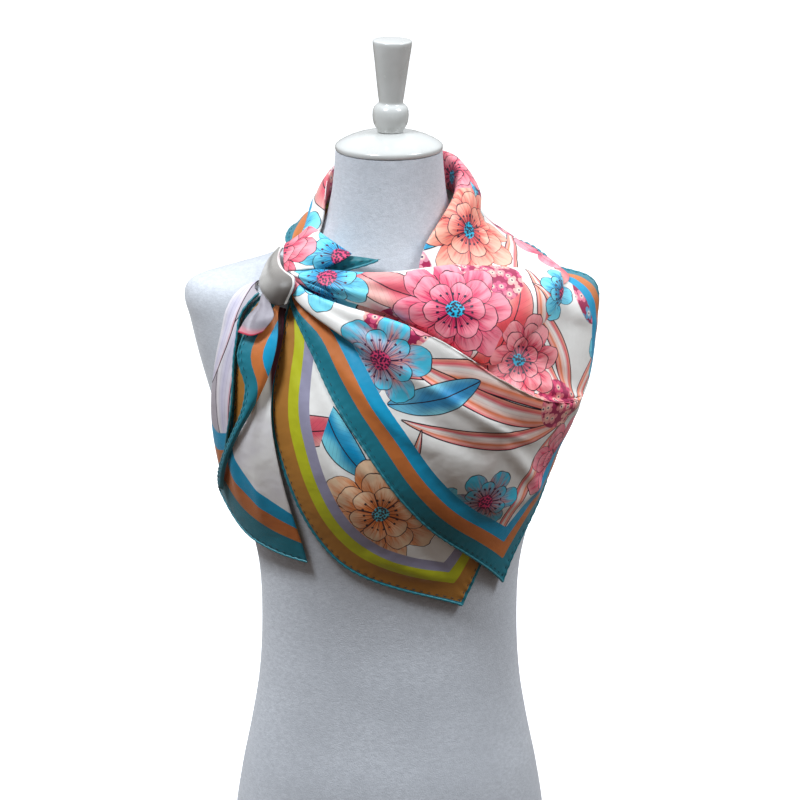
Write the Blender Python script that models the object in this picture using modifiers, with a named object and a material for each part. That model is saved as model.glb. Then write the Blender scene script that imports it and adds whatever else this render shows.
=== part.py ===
"""Silk square scarf, folded on its diagonal and knotted on one shoulder of a limbless dress form.

The form stands on its flat base at the origin, +Z up, with its front towards -Y.
Sizes are in millimetres and degrees, and MM turns them into the scene's metres.

Every place on the cloth is given as (turn, height, stand):
    turn    degrees round the form from its front, + towards +X
    height  height of the form's surface there, above the base
    stand   how far the cloth stands off that surface
"""
import math
from collections import namedtuple

import bpy
from mathutils import Vector
from mathutils.bvhtree import BVHTree

MM = 0.001

# ---------------------------------------------------------------- driving sizes
FORM_HEIGHT = 714.7        # top of the neck, under the cap
FORM_SEGMENTS = 44         # round the form
FORM_STEPS = 1             # between two rings of the table

CAP_RADIUS = 51.0
CAP_BASE = 715.0
CAP_RIM = 5.0              # thickness at the edge
CAP_DOME = 15.0            # rise of the dome over the rim
CAP_SEAT_RADIUS = 15.0     # flat on the dome that carries the finial
CAP_EDGE = 1.0             # bevel of the rim
CAP_SHOULDER = 1.5         # from the dome's foot to the outside of the rim
CAP_DOME_STEPS = 7
CAP_DOME_POWER = 1.6       # how late the dome falls away

FINIAL_LEAN = 1.4          # degrees towards +X
FINIAL_OFFSET = 1.2        # its foot stands this far towards +X
SEAT_GAP = 0.3             # between pieces that rest on each other
TURNING_STEPS = 32         # round a turned piece

CLOTH_WALL = 1.2           # two layers of silk and the air between them
CLOTH_GAP = 2.0            # middle of one wall to the middle of the next
SOFTENING = 4              # passes that ease a sheet down beside what lifts it
OUTSIDE = 160.0            # further off the form than any cloth

# The grip's outline from the top down: a flared cone, a waist and a ball with a flat foot.
Turned = namedtuple("Turned", "radius height")
FINIAL_PROFILE = (
    Turned(0.0, 92.0),
    Turned(16.4, 92.0),
    Turned(17.6, 91.2),
    Turned(18.0, 90.0),
    Turned(17.4, 84.0),
    Turned(15.2, 62.0),
    Turned(12.4, 36.0),
    Turned(11.3, 27.5),
    Turned(12.2, 26.4),
    Turned(15.4, 23.2),
    Turned(16.8, 18.0),
    Turned(16.9, 13.0),
    Turned(15.4, 7.0),
    Turned(12.9, 2.5),
    Turned(12.6, 0.0),
    Turned(0.0, 0.0),
)

# ---------------------------------------------------------------- the form's rings
# half_width is across X, front and back are depths from the axis.
# taper pulls the depth in at the sides, plate squares the ring towards the flat arm plates.
Ring = namedtuple("Ring", "height half_width front back taper plate")
FORM_RINGS = (
    Ring(0.0, 149.0, 97.0, 109.0, 0.00, 2.0),
    Ring(4.0, 152.0, 100.0, 112.0, 0.00, 2.0),
    Ring(45.0, 153.0, 102.0, 114.0, 0.00, 2.0),
    Ring(95.0, 146.0, 98.0, 111.0, 0.00, 2.0),
    Ring(145.0, 136.0, 90.0, 103.0, 0.00, 2.0),
    Ring(195.0, 128.0, 84.0, 90.0, 0.00, 2.0),
    Ring(250.0, 125.0, 80.0, 80.0, 0.00, 2.0),
    Ring(305.0, 127.0, 84.0, 79.0, 0.05, 2.2),
    Ring(350.0, 136.0, 96.0, 84.0, 0.10, 2.4),
    Ring(395.0, 148.0, 110.0, 92.0, 0.16, 2.8),
    Ring(435.0, 159.0, 116.0, 97.0, 0.22, 3.2),
    Ring(480.0, 172.0, 112.0, 98.0, 0.30, 4.0),
    Ring(520.0, 183.0, 101.0, 96.0, 0.36, 5.0),
    Ring(555.0, 191.0, 90.0, 92.0, 0.40, 6.0),
    Ring(578.0, 196.0, 81.0, 87.0, 0.42, 6.0),
    Ring(592.0, 188.0, 75.0, 81.0, 0.42, 5.0),
    Ring(601.0, 160.0, 70.0, 76.0, 0.38, 4.0),
    Ring(610.0, 128.0, 66.0, 71.0, 0.30, 3.0),
    Ring(621.0, 98.0, 63.0, 66.0, 0.18, 2.4),
    Ring(634.0, 75.0, 60.0, 62.0, 0.06, 2.0),
    Ring(650.0, 62.0, 57.0, 58.0, 0.00, 2.0),
    Ring(672.0, 55.5, 54.0, 54.0, 0.00, 2.0),
    Ring(695.0, 52.5, 52.0, 52.0, 0.00, 2.0),
    Ring(FORM_HEIGHT, 51.0, 51.0, 51.0, 0.00, 2.0),
)

# ---------------------------------------------------------------- the cloth's folds
# One row for each fold, in the order they lie across the sheet.
Fold = namedtuple("Fold", "name knot_end upper lower free_end")
TailFold = namedtuple("TailFold", "name knot_end upper middle lower free_end")
CowlFold = namedtuple("CowlFold", "name knot_end left middle right corner tip")
NeckFold = namedtuple("NeckFold", "name knot_end left back_left nape back_right right throat front")

UNDER_PANEL = (
    Fold("left hem", (-26, 583, 6), (-39, 459, 5), (-22, 340, 3), (33, 287, 4)),
    Fold("border", (-25, 585, 8), (-29, 470, 9), (-9, 368, 7), (35, 297, 4)),
    Fold("middle", (-24, 588, 9), (-18, 483, 12), (4, 393, 9), (38, 311, 4)),
    Fold("inner", (-23, 591, 7), (-8, 501, 8), (15, 421, 7), (42, 337, 3)),
    Fold("hidden", (-22, 594, 4), (-2, 527, 4), (21, 458, 4), (44, 376, 3)),
)

MAIN_PANEL = (
    Fold("left hem", (-23, 586, 13), (-12, 478, 12), (13, 384, 10), (56, 304, 6)),
    Fold("border", (-23, 588, 16), (-5, 491, 20), (21, 411, 16), (62, 336, 6)),
    Fold("lower", (-22, 589, 19), (1, 503, 30), (30, 436, 23), (72, 378, 7)),
    Fold("belly", (-22, 591, 22), (5, 524, 38), (35, 467, 30), (82, 421, 6)),
    Fold("under crest", (-22, 593, 24), (10, 538, 45), (41, 476, 33), (92, 456, 7)),
    Fold("crest", (-23, 597, 23), (12, 553, 48), (45, 498, 41), (98, 490, 8)),
    Fold("valley", (-26, 598, 16), (12, 551, 19), (49, 501, 22), (102, 508, 8)),
    Fold("rise", (-28, 599, 9), (13, 581, 9), (53, 544, 12), (107, 548, 5)),
    Fold("shoulder", (-30, 602, 5), (14, 602, 4), (52, 588, 5), (112, 585, 3)),
    Fold("top", (-33, 605, 3), (11, 614, 1.5), (57, 607, 1.8), (118, 603, 2)),
)

NECK_WRAP = (
    NeckFold("inner", (-50, 620, 4), (-88, 655, 3), (-140, 668, 5), (-190, 672, 7),
             (-250, 668, 8), (-300, 650, 3), (-330, 622, 3), (-338, 592, 6)),
    NeckFold("inner crest", (-51, 620, 6), (-90, 670, 4), (-140, 688, 7), (-190, 694, 12),
             (-250, 692, 12), (-306, 662, 7), (-337, 624, 6), (-348, 592, 7)),
    NeckFold("crest", (-53, 620, 8), (-94, 678, 7), (-140, 697, 13), (-190, 703, 21),
             (-250, 699, 19), (-316, 655, 14), (-341, 625, 10), (-352, 592, 10)),
    NeckFold("outer", (-57, 620, 10), (-98, 669, 14), (-145, 682, 23), (-192, 687, 32),
             (-254, 684, 29), (-304, 646, 20), (-324, 618, 11), (-341, 590, 13)),
    NeckFold("face", (-64, 621, 9), (-104, 655, 19), (-148, 656, 29), (-195, 660, 34),
             (-258, 662, 32), (-288, 628, 19), (-306, 610, 10), (-326, 588, 12)),
    NeckFold("crease", (-67, 621, 6), (-107, 645, 13), (-150, 644, 20), (-196, 647, 23),
             (-254, 649, 27), (-279, 621, 18), (-297, 607, 10), (-317, 588, 11)),
    NeckFold("skirt", (-69, 622, 8), (-110, 636, 19), (-152, 632, 25), (-197, 636, 29),
             (-248, 634, 27), (-270, 616, 15), (-288, 604, 9), (-308, 589, 10)),
    NeckFold("hem", (-73, 622, 7), (-116, 624, 16), (-156, 614, 15), (-200, 614, 15),
             (-242, 607, 14), (-262, 604, 8), (-279, 600, 6), (-298, 592, 7)),
)

COWL = (
    CowlFold("behind", (-34, 606, 8), (-14, 607, 17), (10, 606, 18), (30, 601, 11),
             (45, 600, 6), (57, 599, 4)),
    CowlFold("top", (-33, 605, 12), (-14, 608, 31), (10, 613, 39), (30, 605, 26),
             (47, 602, 15), (61, 600, 11)),
    CowlFold("brow", (-31, 604, 18), (-11, 598, 38), (6, 594, 47), (23, 591, 41),
             (43, 593, 24), (62, 596, 14)),
    CowlFold("front", (-28, 602, 20), (-10, 590, 38), (5, 580, 49), (19, 572, 51),
             (36, 581, 36), (60, 594, 13)),
    CowlFold("low", (-26, 601, 18), (-9, 586, 34), (7, 566, 43), (21, 552, 45),
             (37, 565, 34), (58, 592, 11)),
    CowlFold("edge", (-25, 601, 15), (-7, 582, 27), (10, 558, 30), (28, 531, 33),
             (38, 552, 28), (57, 590, 8)),
    CowlFold("tuck", (-27, 602, 11), (-7, 584, 18), (11, 562, 20), (25, 541, 22),
             (35, 552, 21), (55, 591, 4)),
)

TAIL_BACK = (
    Fold("behind", (-44, 603, 1.5), (-53, 536, 1.5), (-63, 466, 2), (-72, 401, 3.6)),
    Fold("fold", (-46, 599, 5), (-57, 538, 8), (-71, 464, 12), (-84, 398, 11)),
    Fold("face", (-42, 593, 7), (-52, 533, 12), (-65, 462, 15), (-83, 391, 14)),
    Fold("hem", (-36, 588, 9), (-47, 528, 14), (-57, 460, 15), (-75, 394, 12)),
)

TAIL_UNDER = (
    Fold("left", (-39, 590, 4), (-51, 522, 8), (-62, 456, 9), (-76, 402, 7.4)),
    Fold("right", (-34, 585, 4), (-39, 518, 8), (-48, 458, 9), (-68, 402, 8)),
)

TAIL_FRONT = (
    TailFold("fold", (-29, 579, 8), (-31, 548, 12), (-37, 490, 14), (-38, 412, 9),
             (-35, 334, 5)),
    TailFold("right", (-30, 580, 10), (-34, 550, 16), (-41, 494, 19), (-48, 426, 16),
             (-52, 341, 8)),
    TailFold("left", (-32, 581, 10), (-35, 548, 16), (-42, 496, 18), (-55, 438, 17),
             (-70, 355, 13)),
    TailFold("hem", (-33, 583, 8), (-36, 546, 12), (-43, 498, 14), (-58, 451, 16.3),
             (-86, 388, 19)),
)

TAIL_FOLD = (
    TailFold("hem", (-35, 584, 13), (-42, 528, 25), (-46, 478, 24), (-63, 434, 22),
             (-80, 396, 20)),
    TailFold("border", (-34, 585, 16), (-38, 530, 28), (-45, 478, 27), (-62, 432, 24),
             (-79, 393, 22)),
    TailFold("face", (-32, 586, 17), (-34, 532, 28), (-44, 477, 27), (-60, 430, 24),
             (-77, 391, 22)),
    TailFold("back", (-30, 586, 13), (-32, 535, 24), (-43, 477, 24), (-58, 428, 22),
             (-75, 391, 20)),
)

TAIL_LOBE = (
    Fold("left", (-38, 584, 16.5), (-41, 575, 24), (-44, 566, 29), (-47, 560, 30)),
    Fold("middle", (-36, 583, 21), (-37, 574, 30), (-38, 562, 35), (-40, 550, 34)),
    Fold("right", (-33, 582, 19.4), (-32, 575, 29), (-31, 566, 33), (-33, 556, 31)),
)

KNOT_WRAP = (
    Fold("behind", (-72, 617, 6), (-52, 605, 8), (-39, 594, 14), (-31, 580, 12)),
    Fold("left", (-70, 617, 12), (-49, 604, 14), (-37, 593, 24), (-29, 579, 19)),
    Fold("middle", (-65, 617, 16), (-44, 604, 22), (-32, 593, 33), (-27, 579, 25)),
    Fold("right", (-61, 617, 17), (-41, 606, 21), (-27, 597, 33), (-26, 581, 25)),
    Fold("lip", (-61, 616, 13), (-42, 606, 17), (-28, 598, 28), (-27, 583, 21)),
)

KNOT_END = (
    Fold("behind", (-66, 620, 9), (-59, 635, 8), (-42, 634, 7), (-24, 626, 9)),
    Fold("top", (-68, 621, 13), (-66, 640, 17), (-46, 638, 16), (-21, 627, 15)),
    Fold("upper", (-62, 618, 16), (-53, 627, 20), (-37, 625, 24), (-22, 620, 20)),
    Fold("lower", (-56, 615, 14), (-45, 615, 20), (-34, 614, 26), (-24, 614, 20)),
    Fold("bottom", (-45, 608, 12), (-36, 606, 16), (-30, 607, 18), (-26, 609, 15)),
)

KNOT_TIP = (
    Fold("top", (-34, 619, 9), (-27, 624, 11), (-17, 626, 10), (-6, 626, 9)),
    Fold("face", (-31, 613, 11), (-24, 618, 14), (-16, 622, 13), (-6, 624, 9)),
    Fold("bottom", (-28, 609, 8), (-21, 612, 9), (-14, 617, 10), (-6, 622, 9)),
)

# What each sheet lies over, and how finely its folds are read.
Sheet = namedtuple("Sheet", "name folds over along across finish")
SHEETS = (
    Sheet("under_panel", UNDER_PANEL, (), 6, 3, "silk"),
    Sheet("main_panel", MAIN_PANEL, ("under_panel",), 7, 3, "silk"),
    Sheet("tail_back", TAIL_BACK, (), 5, 2, "silk"),
    Sheet("tail_under", TAIL_UNDER, (), 5, 3, "silk"),
    Sheet("tail_front", TAIL_FRONT, ("tail_back", "tail_under", "under_panel"), 4, 2, "silk"),
    Sheet("tail_fold", TAIL_FOLD, ("tail_back", "tail_under", "tail_front"), 4, 2, "silk"),
    Sheet("tail_lobe", TAIL_LOBE, ("tail_back", "tail_fold"), 3, 3, "silk"),
    Sheet("neck_wrap", NECK_WRAP, ("main_panel",), 5, 2, "silk"),
    Sheet("cowl", COWL, ("neck_wrap",), 4, 2, "silk"),
    Sheet("knot_end", KNOT_END, ("neck_wrap", "cowl"), 3, 2, "silk"),
    Sheet("knot_tip", KNOT_TIP, ("neck_wrap", "cowl"), 3, 2, "teal_silk"),
    Sheet("knot_wrap", KNOT_WRAP,
          ("main_panel", "neck_wrap", "cowl", "tail_back", "tail_front", "tail_fold",
           "tail_lobe", "knot_end"), 4, 2, "ivory_silk"),
)

# colour, roughness, metallic
Finish = namedtuple("Finish", "colour roughness metallic")
FINISHES = {
    "jersey": Finish((0.66, 0.68, 0.72), 0.90, 0.0),
    "white_gloss": Finish((0.82, 0.82, 0.80), 0.25, 0.0),
    "silk": Finish((0.86, 0.62, 0.58), 0.45, 0.0),
    "ivory_silk": Finish((0.84, 0.82, 0.76), 0.40, 0.0),
    "teal_silk": Finish((0.04, 0.24, 0.28), 0.45, 0.0),
}


# ---------------------------------------------------------------- curves and surfaces
def spline(before, start, end, after, share):
    """A smooth curve from start to end that leaves towards after and arrives from before."""
    square = share * share
    cube = square * share
    return 0.5 * (2.0 * start + (end - before) * share
                  + (2.0 * before - 5.0 * start + 4.0 * end - after) * square
                  + (3.0 * start - before - 3.0 * end + after) * cube)


def spline_at(values, position):
    """Read a smooth curve through the values, where position 0 is the first of them."""
    last = len(values) - 1
    index = min(int(position), last - 1)
    start, end = values[index], values[index + 1]
    before = values[index - 1] if index > 0 else 2.0 * start - end
    after = values[index + 2] if index + 2 <= last else 2.0 * end - start
    return spline(before, start, end, after, position - index)


def ring_at(height):
    """The form's ring at any height, with slopes taken over the rings on both sides."""
    last = len(FORM_RINGS) - 1
    index = 0
    while index < last - 1 and FORM_RINGS[index + 1].height < height:
        index += 1
    low, high = FORM_RINGS[index], FORM_RINGS[index + 1]
    below = FORM_RINGS[max(index - 1, 0)]
    above = FORM_RINGS[min(index + 2, last)]
    span = high.height - low.height
    share = min(max((height - low.height) / span, 0.0), 1.0)
    sizes = [height]
    for column in range(1, len(low)):
        leave = (high[column] - below[column]) / (high.height - below.height) * span
        arrive = (above[column] - low[column]) / (above.height - low.height) * span
        step = high[column] - low[column]
        sizes.append(low[column] + share * (leave + share * (
            3.0 * step - 2.0 * leave - arrive + share * (leave + arrive - 2.0 * step))))
    return Ring(*sizes)


def form_point(turn, height):
    """A point of the form's surface."""
    ring = ring_at(height)
    angle = math.radians(turn)
    side = math.sin(angle)
    facing = math.cos(angle)
    depth = ring.front if facing > 0.0 else ring.back
    depth *= (1.0 - ring.taper * side * side) * math.sqrt(1.0 - abs(side) ** ring.plate)
    return Vector((ring.half_width * side, -math.copysign(depth, facing), height))


def form_normal(turn, height):
    """The direction straight out of the form's surface."""
    around = form_point(turn + 1.0, height) - form_point(turn - 1.0, height)
    upward = form_point(turn, height + 1.0) - form_point(turn, height - 1.0)
    return around.cross(upward).normalized()


def cloth_point(place):
    """A point that stands off the form."""
    turn, height, stand = place
    return form_point(turn, height) + form_normal(turn, height) * stand


# ---------------------------------------------------------------- meshes and materials
def clear_scene():
    for item in list(bpy.data.objects):
        bpy.data.objects.remove(item)


def make_material(finish_name):
    finish = FINISHES[finish_name]
    material = bpy.data.materials.new(finish_name)
    material.use_nodes = True
    shader = material.node_tree.nodes["Principled BSDF"]
    shader.inputs["Base Color"].default_value = (*finish.colour, 1.0)
    shader.inputs["Roughness"].default_value = finish.roughness
    shader.inputs["Metallic"].default_value = finish.metallic
    return material


def add_object(name, points, faces, finish_name, collection):
    """Make a smooth-shaded object from points in millimetres."""
    mesh = bpy.data.meshes.new(name)
    mesh.from_pydata([Vector(point) * MM for point in points], [], faces)
    mesh.materials.append(make_material(finish_name))
    mesh.shade_smooth()
    result = bpy.data.objects.new(name, mesh)
    collection.objects.link(result)
    return result


def grid_faces(rows, columns, closed=False):
    """Four-sided faces over a grid of points, closed into a tube or left open."""
    faces = []
    for row in range(rows - 1):
        for column in range(columns if closed else columns - 1):
            beside = (column + 1) % columns
            faces.append((row * columns + column, row * columns + beside,
                          (row + 1) * columns + beside, (row + 1) * columns + column))
    return faces


# ---------------------------------------------------------------- the dress form
def build_form(collection):
    """A closed loft through the rings, flat underneath and at the neck."""
    heights = []
    for low, high in zip(FORM_RINGS, FORM_RINGS[1:]):
        for step in range(FORM_STEPS):
            heights.append(low.height + (high.height - low.height) * step / FORM_STEPS)
    heights.append(FORM_HEIGHT)
    turns = [360.0 * index / FORM_SEGMENTS for index in range(FORM_SEGMENTS)]
    points = [form_point(turn, height) for height in heights for turn in turns]
    faces = grid_faces(len(heights), FORM_SEGMENTS, closed=True)
    top = (len(heights) - 1) * FORM_SEGMENTS
    faces.append(tuple(reversed(range(FORM_SEGMENTS))))
    faces.append(tuple(range(top, top + FORM_SEGMENTS)))
    return add_object("form_torso", points, faces, "jersey", collection)


def turn_profile(name, profile, finish_name, collection):
    """Spin an outline, listed from the top down, round the axis."""
    points = [(place.radius, 0.0, place.height) for place in profile]
    mesh = bpy.data.meshes.new(name)
    edges = [(index, index + 1) for index in range(len(points) - 1)]
    mesh.from_pydata([Vector(point) * MM for point in points], edges, [])
    mesh.materials.append(make_material(finish_name))
    result = bpy.data.objects.new(name, mesh)
    collection.objects.link(result)
    screw = result.modifiers.new("turning", "SCREW")
    screw.steps = TURNING_STEPS
    screw.render_steps = TURNING_STEPS
    screw.use_merge_vertices = True
    screw.merge_threshold = 0.00005
    screw.use_smooth_shade = True
    return result


def build_cap(collection):
    """The domed disc that closes the neck."""
    dome_radius = CAP_RADIUS - CAP_SHOULDER
    profile = [Turned(0.0, CAP_RIM + CAP_DOME)]
    for step in range(CAP_DOME_STEPS):
        share = step / (CAP_DOME_STEPS - 1)
        profile.append(Turned(CAP_SEAT_RADIUS + (dome_radius - CAP_SEAT_RADIUS) * share,
                              CAP_RIM + CAP_DOME * (1.0 - share ** CAP_DOME_POWER)))
    profile.append(Turned(CAP_RADIUS, CAP_RIM - CAP_EDGE))
    profile.append(Turned(CAP_RADIUS, CAP_EDGE))
    profile.append(Turned(CAP_RADIUS - CAP_EDGE, 0.0))
    profile.append(Turned(0.0, 0.0))
    cap = turn_profile("neck_cap", profile, "white_gloss", collection)
    cap.location.z = CAP_BASE * MM
    return cap


def build_finial(collection):
    """The turned grip, leaning a little on the cap's seat."""
    finial = turn_profile("neck_finial", FINIAL_PROFILE, "white_gloss", collection)
    lean = math.radians(FINIAL_LEAN)
    foot_radius = FINIAL_PROFILE[-2].radius
    foot = CAP_BASE + CAP_RIM + CAP_DOME + SEAT_GAP + foot_radius * math.sin(lean)
    finial.rotation_euler.y = lean
    finial.location = Vector((FINIAL_OFFSET, 0.0, foot)) * MM
    return finial


# ---------------------------------------------------------------- the cloth
def read_folds(sheet):
    """A grid of places: one row across the sheet, one column along its folds."""
    folds = [[Vector(place) for place in fold[1:]] for fold in sheet.folds]
    columns = (len(folds[0]) - 1) * sheet.along + 1
    rows = (len(folds) - 1) * sheet.across + 1
    drawn = [[spline_at(fold, column / sheet.along) for column in range(columns)] for fold in folds]
    grid = []
    for row in range(rows):
        position = row / sheet.across
        grid.append([spline_at([fold[column] for fold in drawn], position)
                     for column in range(columns)])
    return grid


def lift_needed(place, carriers):
    """How much further a place must stand off the form to clear the carriers under it."""
    turn, height, stand = place
    surface = form_point(turn, height)
    normal = form_normal(turn, height)
    needed = 0.0
    for carrier in carriers:
        distance = carrier.ray_cast(surface + normal * OUTSIDE, -normal, OUTSIDE)[3]
        if distance is not None:
            needed = max(needed, OUTSIDE - distance + CLOTH_GAP - stand)
    return needed


def eased(lift, needed):
    """Draw every lift half way towards its neighbours' mean, but never under what is needed."""
    result = []
    for row, lifts in enumerate(lift):
        result.append([])
        for column, own in enumerate(lifts):
            near = [lift[other][column] for other in (row - 1, row + 1) if 0 <= other < len(lift)]
            near += [lifts[other] for other in (column - 1, column + 1) if 0 <= other < len(lifts)]
            mean = sum(near) / len(near)
            result[-1].append(max(needed[row][column], 0.5 * (own + mean)))
    return result


def settle(grid, carriers):
    """Lift a sheet clear of what it lies over, easing down to its own shape beside that."""
    needed = [[lift_needed(place, carriers) for place in row] for row in grid]
    lift = needed
    for _ in range(SOFTENING):
        lift = eased(lift, needed)
    for row, lifts in zip(grid, lift):
        for place, extra in zip(row, lifts):
            place[2] += extra


def build_sheet(sheet, laid, collection):
    """One stretch of the cloth, as an open surface with a thin wall."""
    grid = read_folds(sheet)
    settle(grid, [laid[name] for name in sheet.over])
    points = [cloth_point(place) for row in grid for place in row]
    faces = grid_faces(len(grid), len(grid[0]))
    laid[sheet.name] = BVHTree.FromPolygons(points, faces)
    cloth = add_object(sheet.name, points, faces, sheet.finish, collection)
    wall = cloth.modifiers.new("wall", "SOLIDIFY")
    wall.thickness = CLOTH_WALL * MM
    wall.offset = 0.0
    return cloth


def build():
    clear_scene()
    collection = bpy.data.collections.new("silk_square_scarf_on_dress_form")
    bpy.context.scene.collection.children.link(collection)
    build_form(collection)
    build_cap(collection)
    build_finial(collection)
    laid = {}
    for sheet in SHEETS:
        build_sheet(sheet, laid, collection)


build()
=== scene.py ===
"""Silk square scarf, knotted on one shoulder of a limbless dress form: its finished surfaces.

The form stands at the origin with its front towards -Y. Lengths are in millimetres, and MM turns
them into the scene's metres. A place on the cloth is (turn, height, stand): degrees round the form
from its front, + towards +X, the height of the form's surface there, and how far the cloth stands
off it.
"""
import math
from collections import namedtuple
from functools import partialmethod

import bpy
import numpy as np
from mathutils import Matrix, Vector
from mathutils.bvhtree import BVHTree


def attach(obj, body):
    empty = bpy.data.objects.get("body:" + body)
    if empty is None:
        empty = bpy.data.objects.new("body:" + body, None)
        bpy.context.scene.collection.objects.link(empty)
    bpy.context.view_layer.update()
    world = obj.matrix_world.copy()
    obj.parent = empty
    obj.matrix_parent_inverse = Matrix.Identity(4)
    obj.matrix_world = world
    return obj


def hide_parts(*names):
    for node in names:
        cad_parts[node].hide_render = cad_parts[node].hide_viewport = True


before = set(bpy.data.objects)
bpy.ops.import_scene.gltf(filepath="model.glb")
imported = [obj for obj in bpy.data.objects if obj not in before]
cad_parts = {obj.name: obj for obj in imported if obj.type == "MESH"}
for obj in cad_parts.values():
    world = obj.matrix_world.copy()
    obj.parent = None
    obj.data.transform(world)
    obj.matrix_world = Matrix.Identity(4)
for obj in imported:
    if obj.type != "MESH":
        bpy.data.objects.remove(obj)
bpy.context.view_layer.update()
MM = 0.001

# ------------------------ camera
# A long lens a little over head height, three and a half metres in front of the form and
# tilted down towards its chest.
CAMERA_PLACE = (0.01045, -3.4235, 1.4477)
CAMERA_TILT = 15.928       # degrees below level
CAMERA_LENS = 165.79


def added(name, data):
    """A new object of the scene, at the origin."""
    made = bpy.data.objects.new(name, data)
    bpy.context.scene.collection.objects.link(made)
    return made


camera = added("camera", bpy.data.cameras.new("camera"))
camera.data.lens = CAMERA_LENS
camera.data.sensor_width = 36.0
camera.location = CAMERA_PLACE
camera.rotation_euler = (math.radians(90.0 - CAMERA_TILT), 0.0, 0.0)
bpy.context.scene.camera = camera


# ------------------------ nodes in plain arithmetic
# Every finish below is written as sums on fields, and so are the trees that sew the hems. A
# field is one socket of a tree: the operators add Math nodes, and node() adds any other kind.
class Field:
    """A socket of a node tree that can be added, multiplied and compared."""

    def __init__(self, tree, socket=None):
        self.tree = tree
        self.socket = socket

    def node(self, kind, values=None, output=0, **settings):
        """Add a node, set it up, fill its sockets and return one of its outputs."""
        made = self.tree.nodes.new(kind)
        for name, value in settings.items():
            if name == "stops":
                set_stops(made.color_ramp, value)
            else:
                setattr(made, name, value)
        for name, value in (values or {}).items():
            if isinstance(value, Field):
                self.tree.links.new(value.socket, made.inputs[name])
            else:
                made.inputs[name].default_value = value
        return Field(self.tree, made.outputs[output])

    def beside(self, output):
        """Another output of the same node."""
        return Field(self.tree, self.socket.node.outputs[output])

    def math(self, operation, *others):
        return self.node("ShaderNodeMath", dict(enumerate((self, *others))), operation=operation)

    def vector(self, operation, *others, output=0):
        return self.node("ShaderNodeVectorMath", dict(enumerate((self, *others))), output,
                         operation=operation)

    def scaled(self, *scales):
        """A vector field stretched along its axes, or by one scale all round."""
        return self.vector("MULTIPLY", scales * (3 // len(scales)))

    def parts(self):
        """The x, y and z of a vector field."""
        across = self.node("ShaderNodeSeparateXYZ", {"Vector": self})
        return across, across.beside(1), across.beside(2)

    def joined(self, across, up, through=0.0):
        """A vector field from three fields or numbers."""
        return self.node("ShaderNodeCombineXYZ", {"X": across, "Y": up, "Z": through})

    def __rsub__(self, other):
        return (self * -1.0).math("ADD", other)

    __add__ = __radd__ = partialmethod(math, "ADD")
    __sub__ = partialmethod(math, "SUBTRACT")
    __mul__ = __rmul__ = partialmethod(math, "MULTIPLY")
    __truediv__ = partialmethod(math, "DIVIDE")
    __pow__ = partialmethod(math, "POWER")
    __abs__ = partialmethod(math, "ABSOLUTE")
    least = partialmethod(math, "MINIMUM")
    most = partialmethod(math, "MAXIMUM")

    def off_middle(self):
        """How far a field is from halfway between whole numbers, from 0 to a half."""
        return abs(self.math("FRACT") - 0.5)

    def step(self, low, high):
        """0 up to low and 1 from high, smooth between, or the other way round if low is greater."""
        if low > high:
            return 1.0 - self.step(high, low)
        return self.node("ShaderNodeMapRange", {"Value": self, "From Min": low, "From Max": high},
                         interpolation_type="SMOOTHSTEP")

    def mixed(self, first, second, kind="RGBA"):
        """Where this field is 0 the first colour or vector, where it is 1 the second."""
        before, after, output = {"VECTOR": (4, 5, 1), "RGBA": (6, 7, 2)}[kind]
        return self.node("ShaderNodeMix", {0: self, before: first, after: second}, output,
                         data_type=kind)

    def noise(self, scale, detail=2.0):
        """Noise over a vector field, from 0 to 1 with its mean at a half."""
        return self.node("ShaderNodeTexNoise", {"Vector": self, "Scale": scale, "Detail": detail})

    def cells(self, scale, randomness=1.0, dimensions="2D"):
        """Distances to the scattered middles of cells over a vector field."""
        return self.node("ShaderNodeTexVoronoi", {
            "Vector": self, "Scale": scale, "Randomness": randomness},
            voronoi_dimensions=dimensions)

    def bumped(self, height, distance, strength, normal=None):
        """A Normal field from a height field, with the relief's full depth given."""
        under = {} if normal is None else {"Normal": normal}
        return self.node("ShaderNodeBump", {"Height": height, "Distance": distance,
                                            "Strength": strength, **under})


def set_stops(ramp, stops):
    """Give a colour ramp its (position, colour) stops, in rising order."""
    while len(ramp.elements) < len(stops):
        ramp.elements.new(1.0)
    for element, (position, colour) in zip(ramp.elements, stops):
        element.position = position
        element.color = colour


def paint(*shades):
    """A colour given as it looks, 0 to 255, turned into the light a shader works in."""
    shades = [shade / 255.0 for shade in shades]
    return (*(shade / 12.92 if shade <= 0.04045 else ((shade + 0.055) / 1.055) ** 2.4
              for shade in shades), 1.0)


def new_material(name, kind="ShaderNodeTexCoord", output="Object", **settings):
    """A material and the places that its pattern is read over, on the piece itself if not said."""
    material = bpy.data.materials.new(name)
    material.use_nodes = True
    return material, Field(material.node_tree).node(kind, None, output, **settings)


def finish(material, **values):
    """Fill the shader's sockets: numbers are even all over, and fields change over the surface."""
    shader = material.node_tree.nodes["Principled BSDF"]
    for name, value in values.items():
        socket = shader.inputs[name.replace("_", " ")]
        if isinstance(value, Field):
            material.node_tree.links.new(value.socket, socket)
        else:
            socket.default_value = value


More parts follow.
